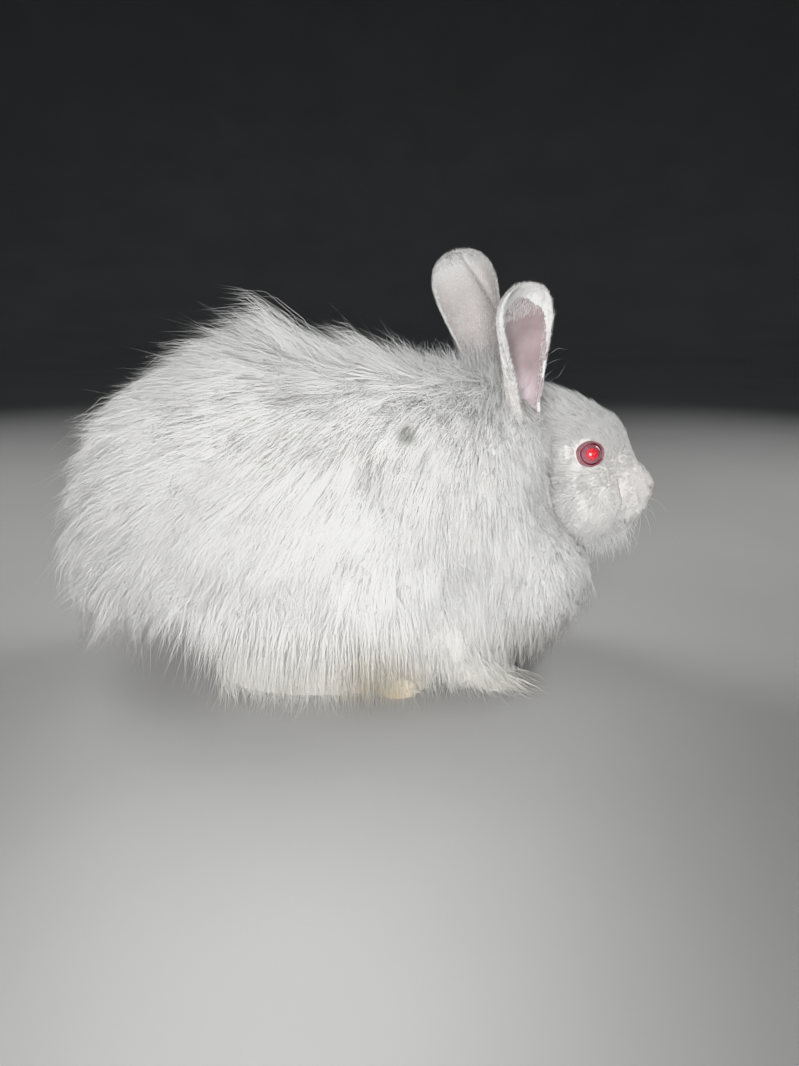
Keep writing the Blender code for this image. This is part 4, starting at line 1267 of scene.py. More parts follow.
def free_piece(name, stations, normals, width, centre, chance, made, places=None):
    """A piece of free hairs. Its map unwraps the places, or the roots, round the centre."""
    count = len(stations)
    ups = np.repeat(normals[:, None], 3, axis=1)
    widths = width * np.array(FREE_TAPER)[None] * chance.uniform(0.75, 1.25, (count, 1))
    spots = ball_unwrap(stations[:, 0] if places is None else places, centre)
    return strands(name, stations, ups, widths, spots, chance.uniform(-0.5, 0.5, count), made)


NAPE_COUNT = 4200
NAPE_PLACE = 0.066
NAPE_REACH = 0.034
NAPE_LENGTHS = (0.018, 0.042)
NAPE_WIDTH = 0.00012
NAPE_SEED = 81


def make_nape(core, made):
    """Fine loose wool that stands up behind and round the ears."""
    chance = np.random.default_rng(NAPE_SEED)

    def usable(places):
        normals = field_normals(places, body_field)
        upward = np.clip(normals[:, 2] + 0.05, 0.0, 1.0)
        return bell(places[:, 0], NAPE_PLACE, NAPE_REACH) * upward * (head_field(places) > -0.001)

    roots = scatter(*core, NAPE_COUNT, chance, usable)
    normals = field_normals(roots, body_field)
    ways = normals * 0.9 + np.array((-0.50, 0.0, 0.50)) + chance.normal(size=(NAPE_COUNT, 3)) * 0.26
    swirl = np.stack([waves(roots, 0.026, seed) for seed in (71, 72, 73)], axis=1) * 0.28
    lengths = chance.uniform(*NAPE_LENGTHS, NAPE_COUNT)
    stations = bent_strands(roots, unit(ways + swirl), lengths, 0.20, 0.14, chance)
    return free_piece("wool_nape", stations, normals, NAPE_WIDTH, BODY_CENTRE, chance, made)


# Wisps of the back: where they grow, how high over it and how far back they end, and their strands
WISPS = (
    (-0.030, -0.012, 0.048, 0.050, 150),
    (-0.022, -0.030, 0.044, 0.050, 110),
    (-0.048, 0.004, 0.036, 0.052, 110),
    (-0.040, 0.030, 0.034, 0.048, 90),
    (-0.062, -0.020, 0.020, 0.056, 70),
    (-0.075, 0.014, 0.012, 0.056, 60),
    (-0.086, -0.032, 0.006, 0.052, 60),
    (-0.104, -0.004, -0.002, 0.050, 60),
    (-0.005, 0.010, 0.036, 0.046, 80),
    (0.012, -0.024, 0.032, 0.044, 80),
    (0.030, 0.018, 0.032, 0.042, 80),
    (0.046, -0.014, 0.034, 0.040, 80),
    (0.002, -0.045, 0.022, 0.046, 70),
)
WISP_CAST_HEIGHT = 0.14
WISP_SPREAD = (0.009, 0.007, 0.0)
WISP_WIDTH = 0.00013
WISP_SEED = 86


def make_wisps(made):
    """Long locks of the back that lift off the coat and end in a thin point, the tallest over the loins."""
    chance = np.random.default_rng(WISP_SEED)
    stations, normals = [], []
    for x, y, height, length, count in WISPS:
        above = np.array([(x - BODY_CENTRE[0], y, WISP_CAST_HEIGHT)])
        middle = cast_from_body(above + np.array(BODY_CENTRE))[0]
        near = cast_from_body(middle + chance.normal(size=(count, 3)) * np.array(WISP_SPREAD))
        up = field_normals(near, body_field)
        aim = middle + unit(np.array((-1.0, 0.35 * np.sign(y) * min(abs(y) / 0.03, 1.0), 0.0))) * length
        aim[2] = middle[2] + height
        reach = 0.55 + 0.50 * chance.random(count)
        spread = chance.normal(size=(count, 3)) * 0.0030
        tips = near + (aim - near) * reach[:, None] + spread
        bulge = max(min(0.020, height * 0.42), 0.004)
        path = []
        for share in WOOL_SHARES:
            lift = up * (bulge * math.sin(math.pi * share) * (1 - 0.3 * share))
            path.append(near + (tips - near) * share**0.8 + lift + spread * share * 0.5)
        stations.append(np.stack(path, axis=1))
        normals.append(up)
    stations, normals = np.concatenate(stations), np.concatenate(normals)
    return free_piece("wool_wisps", stations, normals, WISP_WIDTH, BODY_CENTRE, chance, made)


POINT_LOCKS = 170
POINT_STRANDS = 20
POINT_LENGTHS = (0.038, 0.056)
POINT_PLACES = (-0.16, -0.06, 0.06, 0.10)
POINT_SHARES = (1.0, 0.45, 0.20, 0.0)
POINT_SAG = 0.10
POINT_WIDTH = 0.00013
POINT_SEED = 88


def make_points(core, made):
    """Thin locks round the rump and along the back that stand out of the coat and end in a point."""
    chance = np.random.default_rng(POINT_SEED)

    def usable(places):
        rearward = np.interp(places[:, 0], POINT_PLACES, POINT_SHARES)
        return rearward * np.interp(places[:, 2], (0.040, 0.080), (0.0, 1.0)) * (head_field(places) > 0.030)

    leaders = scatter(*core, POINT_LOCKS, chance, usable)
    outward = field_normals(leaders, body_field)
    ways = unit(wool_lie(leaders, outward) * 0.80 + outward * 0.62 + chance.normal(size=leaders.shape) * 0.10)
    lengths = chance.uniform(*POINT_LENGTHS, POINT_LOCKS) * (0.45 + 0.55 * wool_share(leaders))
    lengths *= np.interp(leaders[:, 0], (-0.165, -0.125), (0.80, 1.0))
    paths = bent_strands(leaders, ways, lengths, POINT_SAG, 0.05, chance)
    lock = np.repeat(np.arange(POINT_LOCKS), POINT_STRANDS)
    roots = cast_from_body(leaders[lock] + chance.normal(size=(len(lock), 3)) * 0.0042)
    turned = unit(ways[lock] + chance.normal(size=roots.shape) * 0.12)
    reach = lengths[lock] * chance.uniform(0.62, 1.05, len(lock))
    stations = bent_strands(roots, turned, reach, POINT_SAG, 0.06, chance)
    pull = chance.uniform(0.55, 0.95, len(lock))[:, None] * (np.array(WOOL_SHARES) ** 1.2)[None]
    share = (reach / lengths[lock])[:, None, None]
    aim = paths[lock][:, :1] + (paths[lock] - paths[lock][:, :1]) * share
    stations = stations + (aim - stations) * pull[..., None]
    stations = narrowed(stations.reshape(-1, 3)).reshape(stations.shape)
    normals = field_normals(roots, body_field)
    return free_piece("wool_points", stations, normals, POINT_WIDTH, BODY_CENTRE, chance, made)


HEM_COUNT = 5700
HEM_LOCKS = 210
# How high over the floor the hem ends, by place along the body
HEM_PLACES = (-0.100, -0.080, -0.050)
HEM_ENDS = (0.032, 0.020, 0.0012)
HEM_LENGTHS = (0.010, 0.095)
HEM_WIDTH = 0.00013
HEM_SEED = 82


def hanging(roots, spread, chance):
    """Hairs of the hem from the roots down to the hem's end, with their normals."""
    count = len(roots)
    normals = field_normals(roots, body_field)
    flat = normals * np.array((1.0, 1.0, 0.0))
    lean = wool_lie(roots, normals)
    ways = flat * 0.52 + np.array(DOWN) + lean * 0.30 + chance.normal(size=(count, 3)) * spread
    ends = np.interp(roots[:, 0], HEM_PLACES, HEM_ENDS) + np.abs(chance.normal(0.0, 0.006, count))
    lengths = np.clip((roots[:, 2] - ends) * 1.14, *HEM_LENGTHS)
    return bent_strands(roots, unit(ways), lengths, 0.12, 0.09, chance), normals


def make_hem(core, made):
    """Wool that hangs in thin locks from the flanks and chest to the floor, over the feet."""
    chance = np.random.default_rng(HEM_SEED)

    def usable(places):
        normals = field_normals(places, body_field)
        low = np.interp(places[:, 2], (0.015, 0.030, 0.075, 0.095), (0.3, 1.0, 1.0, 0.0))
        sideways = np.clip(1.2 - np.abs(normals[:, 2]), 0.0, 1.0)
        body = (places[:, 0] > -0.100) & (places[:, 0] < 0.100) & (head_field(places) > 0.004)
        return low * sideways * body

    roots = scatter(*core, HEM_COUNT, chance, usable)
    stations, normals = hanging(roots, 0.16, chance)
    leaders = scatter(*core, HEM_LOCKS, chance, usable)
    paths, _ = hanging(leaders, 0.07, chance)
    pull = chance.uniform(0.10, 0.70, HEM_COUNT)[:, None] * (np.array(WOOL_SHARES) ** 1.4)[None]
    stations = stations + (paths[nearest_leader(leaders, roots)] - stations) * pull[..., None]
    stations = clear_of_feet(stations.reshape(-1, 3)).reshape(stations.shape)
    return free_piece("wool_hem", stations, normals, HEM_WIDTH, BODY_CENTRE, chance, made, roots)


# Tufts of the wrists and hind feet: strands, middle and spread of their roots, and the way they hang
PAW_TUFTS = (
    (520, (0.068, 0.055, 0.028), (0.012, 0.012, 0.008), (0.35, 0.30, -1.0)),
    (420, (0.080, 0.057, 0.020), (0.010, 0.012, 0.004), (0.70, 0.30, -0.9)),
    (260, (0.092, 0.056, 0.012), (0.006, 0.011, 0.003), (1.00, 0.20, -0.6)),
    (420, (-0.030, 0.077, 0.024), (0.055, 0.004, 0.008), (0.15, 0.20, -1.0)),
)
PAW_TUFT_LENGTHS = (0.008, 0.030)
PAW_TUFT_WIDTH = 0.00015
PAW_TUFT_SEED = 87


def make_paw_tufts(made):
    """Fur that hangs from the wrists over the forepaws, and from the outer sides of the hind feet."""
    chance = np.random.default_rng(PAW_TUFT_SEED)
    roots, ways = [], []
    for side in BOTH:
        for count, middle, spread, way in PAW_TUFTS:
            strewn = chance.uniform(-1.0, 1.0, (count, 3)) * np.array(spread)
            roots.append(np.array(mirror(middle, side)) + strewn)
            ways.append(np.array(mirror(way, side)) + chance.normal(size=(count, 3)) * 0.20)
    roots, ways = np.concatenate(roots), unit(np.concatenate(ways))
    lengths = np.clip(roots[:, 2] / np.maximum(-ways[:, 2], 0.3), *PAW_TUFT_LENGTHS)
    lengths = lengths * chance.uniform(0.7, 1.1, len(roots))
    stations = bent_strands(roots, ways, lengths, 0.15, 0.08, chance)
    normals = unit(ways * np.array((0.6, 1.0, 0.0)) + np.array((0.0, 0.0, 0.3)))
    return free_piece("paw_tufts", stations, normals, PAW_TUFT_WIDTH, BODY_CENTRE, chance, made)


FRINGE_COUNT = 1250
FRINGE_WIDTH = 0.00009
FRINGE_SEED = 83


def make_fringe(head, made):
    """Longer hairs that hang from the jaw."""
    chance = np.random.default_rng(FRINGE_SEED)

    def usable(places):
        low = np.interp(places[:, 2], (0.094, 0.108, 0.116), (1.0, 1.0, 0.0))
        along = np.interp(places[:, 0], (0.140, 0.150, 0.182, 0.190), (0.3, 1.0, 1.0, 0.0))
        return low * along * (core_field(places) > 0.0)

    roots = scatter(*head, FRINGE_COUNT, chance, usable)
    normals = field_normals(roots, head_field)
    ways = unit(normals * 0.4 + np.array((0.10, 0.0, -1.0)) + chance.normal(size=(FRINGE_COUNT, 3)) * 0.42)
    lengths = 0.005 + 0.018 * chance.random(FRINGE_COUNT) ** 1.5
    stations = bent_strands(roots, ways, lengths, 0.1, 0.16, chance, 0.0)
    return free_piece("jaw_fringe", stations, normals, FRINGE_WIDTH, HEAD_CENTRE, chance, made)


# Short fur of the feet
FOOT_FUR_DENSITY = 2.2e6
FOOT_FUR_LENGTHS = (0.0028, 0.0052)
FOOT_FUR_WIDTH = 0.00019
FOOT_FUR_SEED = 84
ROOT_DEPTH = 0.0003


def foot_forms(side):
    """Centres and radii of the ellipsoids of the paw, the foot and their toes on one side."""
    forms = [(mirror(PAW_CENTRE, side), PAW_RADII), (mirror(FOOT_CENTRE, side), FOOT_RADII)]
    for x, y in FORE_TOES:
        forms.append(((x, (PAW_CENTRE[1] + y) * side, FORE_TOE_RADII[2] * 0.85), FORE_TOE_RADII))
    for x, y in HIND_TOES:
        forms.append(((x, (FOOT_CENTRE[1] + y) * side, TOE_RADII[2] * 0.85), TOE_RADII))
    return forms


def make_foot_fur(name, side, made, chance):
    """Short fur that runs forwards over the foot, the paw and the toes."""
    roots, normals, seams = [], [], []
    forms = foot_forms(side)
    for index, (centre, radii) in enumerate(forms):
        count = int(FOOT_FUR_DENSITY * radii[0] * (radii[1] + radii[2]))
        ways = unit(chance.normal(size=(count, 3)))
        places = np.array(centre) + ways * np.array(radii)
        free = places[:, 2] > 0.0012
        for other, (middle, reach) in enumerate(forms):
            if other != index:
                free &= np.linalg.norm((places - np.array(middle)) / np.array(reach), axis=1) > 0.97
        roots.append(places[free])
        normals.append(unit(ways / np.array(radii))[free])
        corner = np.array(((index % 3) * 0.33, (index // 3) * 0.25))
        seams.append(ball_unwrap(places[free], centre) * 0.3 + corner)
    roots, normals, spots = np.concatenate(roots), np.concatenate(normals), np.concatenate(seams)
    count = len(roots)
    lie = along_surface(np.array((1.0, 0.0, -0.25)) + chance.normal(size=(count, 3)) * 0.22, normals)
    length = chance.uniform(*FOOT_FUR_LENGTHS, count)
    tips = roots + (lie + normals * chance.uniform(0.25, 0.45, (count, 1))) * length[:, None]
    stations = np.stack([roots - normals * ROOT_DEPTH, above_floor(tips, WOOL_FLOOR / 2)], axis=1)
    widths = np.full((count, 1), FOOT_FUR_WIDTH)
    return strands(name, stations, normals[:, None], widths, spots, chance.uniform(-0.5, 0.5, count), made)


# Whiskers and claws

def curved_tube(bm, start, way, bend, length, radius, steps=8, sides=6):
    """Adds a closed tapered tube that leaves the start and bends along its length."""
    start, way, bend = Vector(start), Vector(way).normalized(), Vector(bend)
    rings = []
    for step in range(steps):
        share = step / steps
        middle = start + way * (length * share) + bend * (length * share**2)
        ahead = (way + bend * (2 * share)).normalized()
        side = ahead.cross(Vector((0.0, 0.3, 1.0))).normalized()
        rings.append(ring_of(bm, middle, side, side.cross(ahead), radius * (1 - share) ** 0.6, sides))
    bridge(bm, rings)
    tip = bm.verts.new(start + way * length + bend * length)
    for corner in range(sides):
        bm.faces.new((rings[-1][corner], rings[-1][(corner + 1) % sides], tip))
    bm.faces.new(list(reversed(rings[0])))


WHISKERS_A_SIDE = 12
WHISKER_LENGTHS = (0.018, 0.036)
WHISKER_RADIUS = 0.00013
WHISKER_SEED = 85


def make_whiskers(made):
    """Whiskers in rows of four on each side of the muzzle."""
    chance = np.random.default_rng(WHISKER_SEED)
    bm = bmesh.new()
    for side in BOTH:
        for index in range(WHISKERS_A_SIDE):
            row, place = index % 4, index // 4
            spot = (0.1945 - 0.0042 * place, 0.0100 + 0.0016 * place, 0.1185 - 0.0032 * row)
            start = skin_line([spot], side)[0]
            forward = 0.15 - 0.28 * place + chance.normal(0, 0.08)
            way = (forward, side, 0.10 - 0.13 * row + chance.normal(0, 0.08))
            bend = (-0.20, 0.0, -0.12 + chance.normal(0, 0.05))
            curved_tube(bm, start, way, bend, chance.uniform(*WHISKER_LENGTHS), WHISKER_RADIUS, 8, 4)
    bmesh.ops.recalc_face_normals(bm, faces=bm.faces)
    return finished("whiskers", bm, made)


CLAW_LENGTH = 0.0055
CLAW_RADIUS = 0.0009


def make_claws(name, side, toes, centre_y, radii, made):
    """A short curved claw at the tip of each toe."""
    bm = bmesh.new()
    for x, y in toes:
        start = (x + radii[0] * 0.80, (centre_y + y) * side, radii[2] * 0.80)
        way = (1.0, 0.12 * side * (1 if y > 0 else -1), -0.05)
        curved_tube(bm, start, way, (0.0, 0.0, -0.42), CLAW_LENGTH, CLAW_RADIUS, 7, 8)
    for vert in bm.verts:
        vert.co.z = max(vert.co.z, 0.0003)
    bmesh.ops.recalc_face_normals(bm, faces=bm.faces)
    return finished(name, bm, made)


# Short fur of the head: its length at distances from the tip of the nose
NOSE_TIP = (0.2060, 0.0, 0.1190)
HEAD_FUR_REACH = (0.0, 0.018, 0.050, 0.085)
HEAD_FUR_LENGTHS = (0.0014, 0.0027, 0.0064, 0.0098)
HEAD_FUR_COUNT = 43000
HEAD_FUR_SEED = 21
# The share of it with a bend, and the bare width at the lids, lips and creases
HEAD_BENT_SHARE = 0.36
BARE_LID = 0.0009
BARE_LINE = 0.0005
UNDER_CORE = -0.0200
# The lids' opening: half its width forwards and upwards, and what its corners add to it (angle, spread, size)
OPENING = (0.00765, 0.00690)
CORNERS = ((-0.30, 0.24, 0.0004), (2.95, 0.30, 0.0002))


def eye_frame(side, axis=EYE_OUTWARD):
    """The centre of an eye and its forward, upward and outward directions."""
    centre = np.array(mirror(EYE_CENTRE, side))
    outward = unit(np.array(mirror(axis, side)))
    forward = np.array((1.0, 0.0, 0.0))
    forward = unit(forward - outward * (forward @ outward))
    up = np.array((0.0, 0.0, 1.0))
    up = unit(up - outward * (up @ outward) - forward * (up @ forward))
    return centre, forward, up, outward


def eye_opening(angle):
    """The half-width of the opening between the lids at an angle from the front, counted upwards."""
    wide = 1 / np.sqrt((np.cos(angle) / OPENING[0]) ** 2 + (np.sin(angle) / OPENING[1]) ** 2)
    for corner, spread, size in CORNERS:
        away = np.arctan2(np.sin(angle - corner), np.cos(angle - corner))
        wide = wide + size * bell(away, 0.0, spread)
    return wide


def from_eyes(points):
    """How far outside the opening of the nearer eye's lids the points are, seen along the eye's axis."""
    nearest = np.full(len(points), 0.05)
    for side in BOTH:
        centre, forward, up, _ = eye_frame(side)
        offset = points - centre
        along, above = offset @ forward, offset @ up
        past = np.hypot(along, above) - eye_opening(np.arctan2(above, along))
        nearest = np.minimum(nearest, np.where(points[:, 1] * side > 0, past, 0.05))
    return nearest


def head_lie(points, normals):
    """The short fur runs back from the nose, and down over the cheeks."""
    way = unit(points - np.array(NOSE_TIP) - np.array((0.01, 0.0, 0.0)))
    cheek = np.interp(points[:, 2], (0.095, 0.150), (1.1, 0.15))
    return along_surface(way + np.array(DOWN) * cheek[:, None], normals)


def head_fur_lengths(roots, crown, chance):
    """Short at the nose, the eyes and the muzzle's crease, and longest on the crown."""
    reach = np.linalg.norm(roots - np.array(NOSE_TIP), axis=1)
    length = np.interp(reach, HEAD_FUR_REACH, HEAD_FUR_LENGTHS) * chance.uniform(0.7, 1.25, HEAD_FUR_COUNT)
    length *= np.interp(from_eyes(roots), (0.001, 0.007), (0.42, 1.0))
    length *= np.interp(from_lines(roots, "muzzle"), (0.001, 0.004), (0.5, 1.0))
    return length * (1 + 0.9 * crown)


def make_head_fur(head, made):
    """Short fur of the face and crown, in a bent and a straight part for each side."""
    chance = np.random.default_rng(HEAD_FUR_SEED)

    def usable(places):
        near_eye = from_eyes(places)
        bare = (core_field(places) <= UNDER_CORE) | (near_eye <= BARE_LID)
        bare |= from_lines(places, "mouth", "split_lip", "muzzle", "tear_line") <= BARE_LINE
        reach = np.linalg.norm(places - np.array(NOSE_TIP), axis=1)
        dense = np.interp(reach, (0.0, 0.03, 0.08), (2.2, 1.2, 0.8))
        return ~bare * dense * (1 + 1.6 * np.exp(-near_eye / 0.0045))

    roots = scatter(*head, HEAD_FUR_COUNT, chance, usable)
    normals = field_normals(roots, head_field)
    crown = bell(roots[:, 0], 0.125, 0.030) * np.interp(roots[:, 2], (0.150, 0.172), (0.0, 1.0))
    length = head_fur_lengths(roots, crown, chance)
    yaw = 0.22 * waves(roots, 0.018, 51) + chance.normal(0, 0.16, HEAD_FUR_COUNT)
    lie = swung(head_lie(roots, normals), normals, yaw)
    stand = chance.uniform(0.28, 0.62, HEAD_FUR_COUNT) + 0.40 * crown
    stations = [roots - normals * ROOT_DEPTH]
    for share in (0.5, 1.0):
        rise = stand * length * (share - 0.35 * share**2)
        stations.append(roots + lie * (length * share)[:, None] + normals * rise[:, None])
    stations = np.stack(stations, axis=1)
    ups = np.repeat(normals[:, None], 2, axis=1)
    widths = np.interp(length, (0.001, 0.009), (0.00013, 0.00021))[:, None] * np.array((1.0, 0.75))[None]
    spots = ball_unwrap(roots, HEAD_CENTRE)
    across = chance.uniform(-0.5, 0.5, HEAD_FUR_COUNT)
    bent = chance.random(HEAD_FUR_COUNT) < HEAD_BENT_SHARE
    pieces = []
    for word, side in SIDES:
        here = (roots[:, 1] < 0) == (side < 0)
        for name, kind, rings in (("fur", bent, [0, 1, 2]), ("down", ~bent, [0, 2])):
            pieces.append(chosen_strands(f"head_{name}_{word}", kind & here, rings, stations, ups, widths,
                                         spots, across, made))
    return pieces


# Ear fur, in groups: count, range along the ear, range across it from the rear edge (-1) to the front (1),
# the face it grows from (1 is the back), its lengths, and how far it leans to the edge
EAR_FUR = (
    ("back", 2600, (0.05, 0.985), (-1.0, 1.0), 1.0, (0.0016, 0.0030), 0.2),
    ("rear_rim_outside", 1700, (0.04, 0.985), (-1.0, -0.80), 1.0, (0.0026, 0.0046), 0.7),
    ("rear_rim_inside", 2200, (0.12, 0.985), (-1.0, -0.58), -1.0, (0.0028, 0.0048), 0.8),
    ("front_rim_outside", 600, (0.05, 0.985), (1.0, 0.86), 1.0, (0.0020, 0.0034), 0.5),
    ("front_rim_inside", 900, (0.10, 0.985), (1.0, 0.80), -1.0, (0.0018, 0.0032), 0.6),
    ("tip_inside", 1700, (0.985, 0.76), (-1.0, 0.90), -1.0, (0.0030, 0.0052), 0.3),
    ("tip_outside", 700, (0.985, 0.90), (-1.0, 1.0), 1.0, (0.0026, 0.0050), 0.3),
    ("wisps", 60, (0.93, 0.98), (-0.8, 0.6), -1.0, (0.0060, 0.0100), 0.1),
)
EAR_FUR_WIDTH = 0.00016
EAR_FUR_SEED = 61
# Fur of the rims and tips grows thicker to the edge
TO_THE_EDGE = 1.5


def grid_at(grid, rows, columns):
    """Values of a grid between its rows and columns."""
    low_row = np.minimum(rows.astype(int), grid.shape[0] - 2)
    low_column = np.minimum(columns.astype(int), grid.shape[1] - 2)
    r, c = (rows - low_row)[:, None], (columns - low_column)[:, None]
    return (
        grid[low_row, low_column] * (1 - r) * (1 - c)
        + grid[low_row + 1, low_column] * r * (1 - c)
        + grid[low_row, low_column + 1] * (1 - r) * c
        + grid[low_row + 1, low_column + 1] * r * c
    )


def ear_fur_groups(chance):
    """For each hair of an ear: its place along and across, its face, its length and its lean to the edge."""
    rows = []
    for label, count, along, across, face, sizes, lean in EAR_FUR:
        share = between(along, chance, count, TO_THE_EDGE if label.startswith("tip") else 1.0)
        place = between(across, chance, count, 1.0 if label == "back" else TO_THE_EDGE)
        rows.append((share, place, np.full(count, face), between(sizes, chance, count), np.full(count, lean)))
    return (np.concatenate(column) for column in zip(*rows))


def make_ear_fur(name, grid, made, chance):
    points, outward = grid
    share, place, face, length, lean = ear_fur_groups(chance)
    count = len(share)
    place = place * rear_first(points)
    rows = (1 - (1 - share) ** (1 / EAR_ROW_SPACING)) * (EAR_ROWS - 1)
    columns = (place + 1) / 2 * (EAR_COLUMNS - 1)
    middle, normal = grid_at(points, rows, columns), unit(grid_at(outward, rows, columns))
    above = grid_at(points, np.minimum(rows + 1.0, EAR_ROWS - 1), columns)
    below = grid_at(points, np.maximum(rows - 1.0, 0), columns)
    ahead = grid_at(points, rows, np.minimum(columns + 1.0, EAR_COLUMNS - 1))
    behind = grid_at(points, rows, np.maximum(columns - 1.0, 0))
    up, side = unit(above - below), unit(ahead - behind)
    thick = np.interp(np.abs(place), (0.6, 1.0), (EAR_THICK_MIDDLE, EAR_THICK_EDGE)) / 2
    roots = middle + normal * (face * thick * 0.9)[:, None]
    turned = lean * np.sign(place) * chance.uniform(0.3, 1.3, count) + chance.normal(0, 0.22, count)
    lie = unit(up + side * turned[:, None])
    stand = chance.uniform(0.22, 0.55, count) * face
    stations = np.stack([roots, roots + (lie + normal * stand[:, None] * 0.7) * length[:, None]], axis=1)
    widths = EAR_FUR_WIDTH * chance.uniform(0.75, 1.25, (count, 1))
    spots = np.stack([0.02 + 0.96 * (place + 1) / 2, 0.02 + 0.96 * share], axis=1)
    return strands(name, stations, normal[:, None], widths, spots, chance.uniform(-0.5, 0.5, count), made)


# Eyes and lids
CORNEA_HEIGHT = 0.0009
CORNEA_ANGLE = 0.80


def make_eye(name, side, made):
    """An eyeball with a raised cornea."""
    centre, _, _, outward = eye_frame(side)
    bm = bmesh.new()
    bmesh.ops.create_icosphere(bm, subdivisions=6, radius=EYE_RADIUS)
    for vert in bm.verts:
        way = np.array(vert.co) / EYE_RADIUS
        off_axis = math.acos(max(-1.0, min(1.0, float(way @ outward))))
        bulge = CORNEA_HEIGHT * max(0.0, 1 - (off_axis / CORNEA_ANGLE) ** 2) ** 1.5
        vert.co = Vector(centre + way * (EYE_RADIUS + bulge))
    return finished(name, bm, made)


LID_STEPS = 72
# The lid's skirt under the fur: how far out of the opening, and how high over the head's skin
LID_SKIRT = ((0.0022, 0.0004), (0.0040, -0.0022), (0.0020, -0.0045))


def make_lids(name, side, made):
    """The rims of both lids as one closed ring, from the eyeball out to under the fur."""
    centre, forward, up, outward = eye_frame(side)
    bm = bmesh.new()
    rings = []
    for step in range(LID_STEPS):
        angle = WHOLE_TURN * step / LID_STEPS
        spoke = forward * math.cos(angle) + up * math.sin(angle)
        inner = float(eye_opening(np.array(angle)))
        seat = math.sqrt(max(EYE_RADIUS**2 - inner**2, 1e-8))
        upper = max(math.sin(angle), 0.0)
        profile = (
            (inner + 0.0002, seat - 0.0012),
            (inner - 0.0001, seat + 0.0004),
            (inner + 0.0003, seat + 0.0009 + 0.0003 * upper),
            (inner + 0.0010, seat + 0.0010 + 0.0004 * upper),
        )
        ring = [centre + spoke * radius + outward * height for radius, height in profile]
        for out, level in LID_SKIRT:
            point = centre + spoke * (inner + out) + outward * seat
            for _ in range(3):
                spot = point[None]
                above = head_field(spot)[0] - HEAD_SKIN_LEVEL - level
                point = point - field_normals(spot, head_field)[0] * above
            ring.append(point)
        rings.append([bm.verts.new(point) for point in ring])
    bridge(bm, rings + rings[:1])
    bmesh.ops.recalc_face_normals(bm, faces=bm.faces)
    piece = finished(name, bm, made)
    subdivide = piece.modifiers.new("round", "SUBSURF")
    subdivide.levels = 1
    subdivide.render_levels = 1
    return piece


# Camera, light and floor
CAMERA_PLACE = (0.030, -0.540, 0.246)
CAMERA_PITCH_DOWN = math.radians(16.2)
FOCAL_PIXELS = 801.0
IMAGE_HEIGHT = 1066.0
SENSOR = 36.0


def make_camera():
    data = bpy.data.cameras.new("camera")
    data.sensor_fit = "VERTICAL"
    data.sensor_height = SENSOR
    data.lens = SENSOR * FOCAL_PIXELS / IMAGE_HEIGHT
    camera = bpy.data.objects.new("camera", data)
    camera.location = CAMERA_PLACE
    camera.rotation_euler = (math.pi / 2 - CAMERA_PITCH_DOWN, 0.0, 0.0)
    data.clip_start = 0.01
    bpy.context.scene.collection.objects.link(camera)
    bpy.context.scene.camera = camera


# Lights: place, target, size, power and spread. The key is beside the camera, and two light the far side.
LIGHTS = {
    "key": ((-0.02, -0.68, 0.20), (-0.02, 0.0, 0.065), 0.24, 1.30, math.radians(62.0)),
    "far_front": ((1.20, 1.00, 0.95), (0.06, 0.0, 0.08), 1.1, 4.6, math.radians(78.0)),
    "far_rear": ((-1.20, 1.00, 0.95), (-0.06, 0.0, 0.08), 1.1, 4.6, math.radians(78.0)),
}
WORLD_COLOUR = (0.95, 0.97, 1.0, 1.0)
WORLD_STRENGTH = 0.19
BOUNCES = {"max_bounces": 6, "diffuse_bounces": 4, "transmission_bounces": 6}


def make_light(name, place, target, size, power, spread):
    data = bpy.data.lights.new(name, "AREA")
    data.size = size
    data.energy = power
    data.spread = spread
    light = bpy.data.objects.new(name, data)
    light.location = place
    light.visible_camera = False
    light.rotation_euler = (Vector(target) - Vector(place)).to_track_quat("-Z", "Y").to_euler()
    bpy.context.scene.collection.objects.link(light)


def light_scene():
    world = bpy.data.worlds.new("studio")
    bpy.context.scene.world = world
    world.use_nodes = True
    background = world.node_tree.nodes["Background"]
    background.inputs["Color"].default_value = WORLD_COLOUR
    background.inputs["Strength"].default_value = WORLD_STRENGTH
    for name, facts in LIGHTS.items():
        make_light(name, *facts)
    for setting, value in BOUNCES.items():
        setattr(bpy.context.scene.cycles, setting, value)
    bpy.context.scene.view_settings.view_transform = "Khronos PBR Neutral"
    bpy.context.scene.view_settings.look = "None"


FLOOR_RADIUS = 3.0
FLOOR_SIDES = 96
BOWL_RISE = 2.4
BOWL_RINGS = 20
WALL_TOP = 7.0


def staged(name, profile, made, middle):
    """A round surface through the profile's radii and heights, closed in its middle where it is the floor."""
    bm = bmesh.new()
    east, north = Vector((1.0, 0.0, 0.0)), Vector((0.0, 1.0, 0.0))
    rings = [ring_of(bm, Vector((0.0, 0.0, height)), east, north, radius, FLOOR_SIDES)
             for radius, height in profile]
    bridge(bm, rings)
    if middle:
        bm.faces.new(rings[0])
        bmesh.ops.recalc_face_normals(bm, faces=bm.faces)
        bmesh.ops.reverse_faces(bm, faces=bm.faces)
    piece = smooth_shaded(object_from_bmesh(name, bm, bpy.context.scene.collection))
    piece.data.materials.append(made)
    return piece


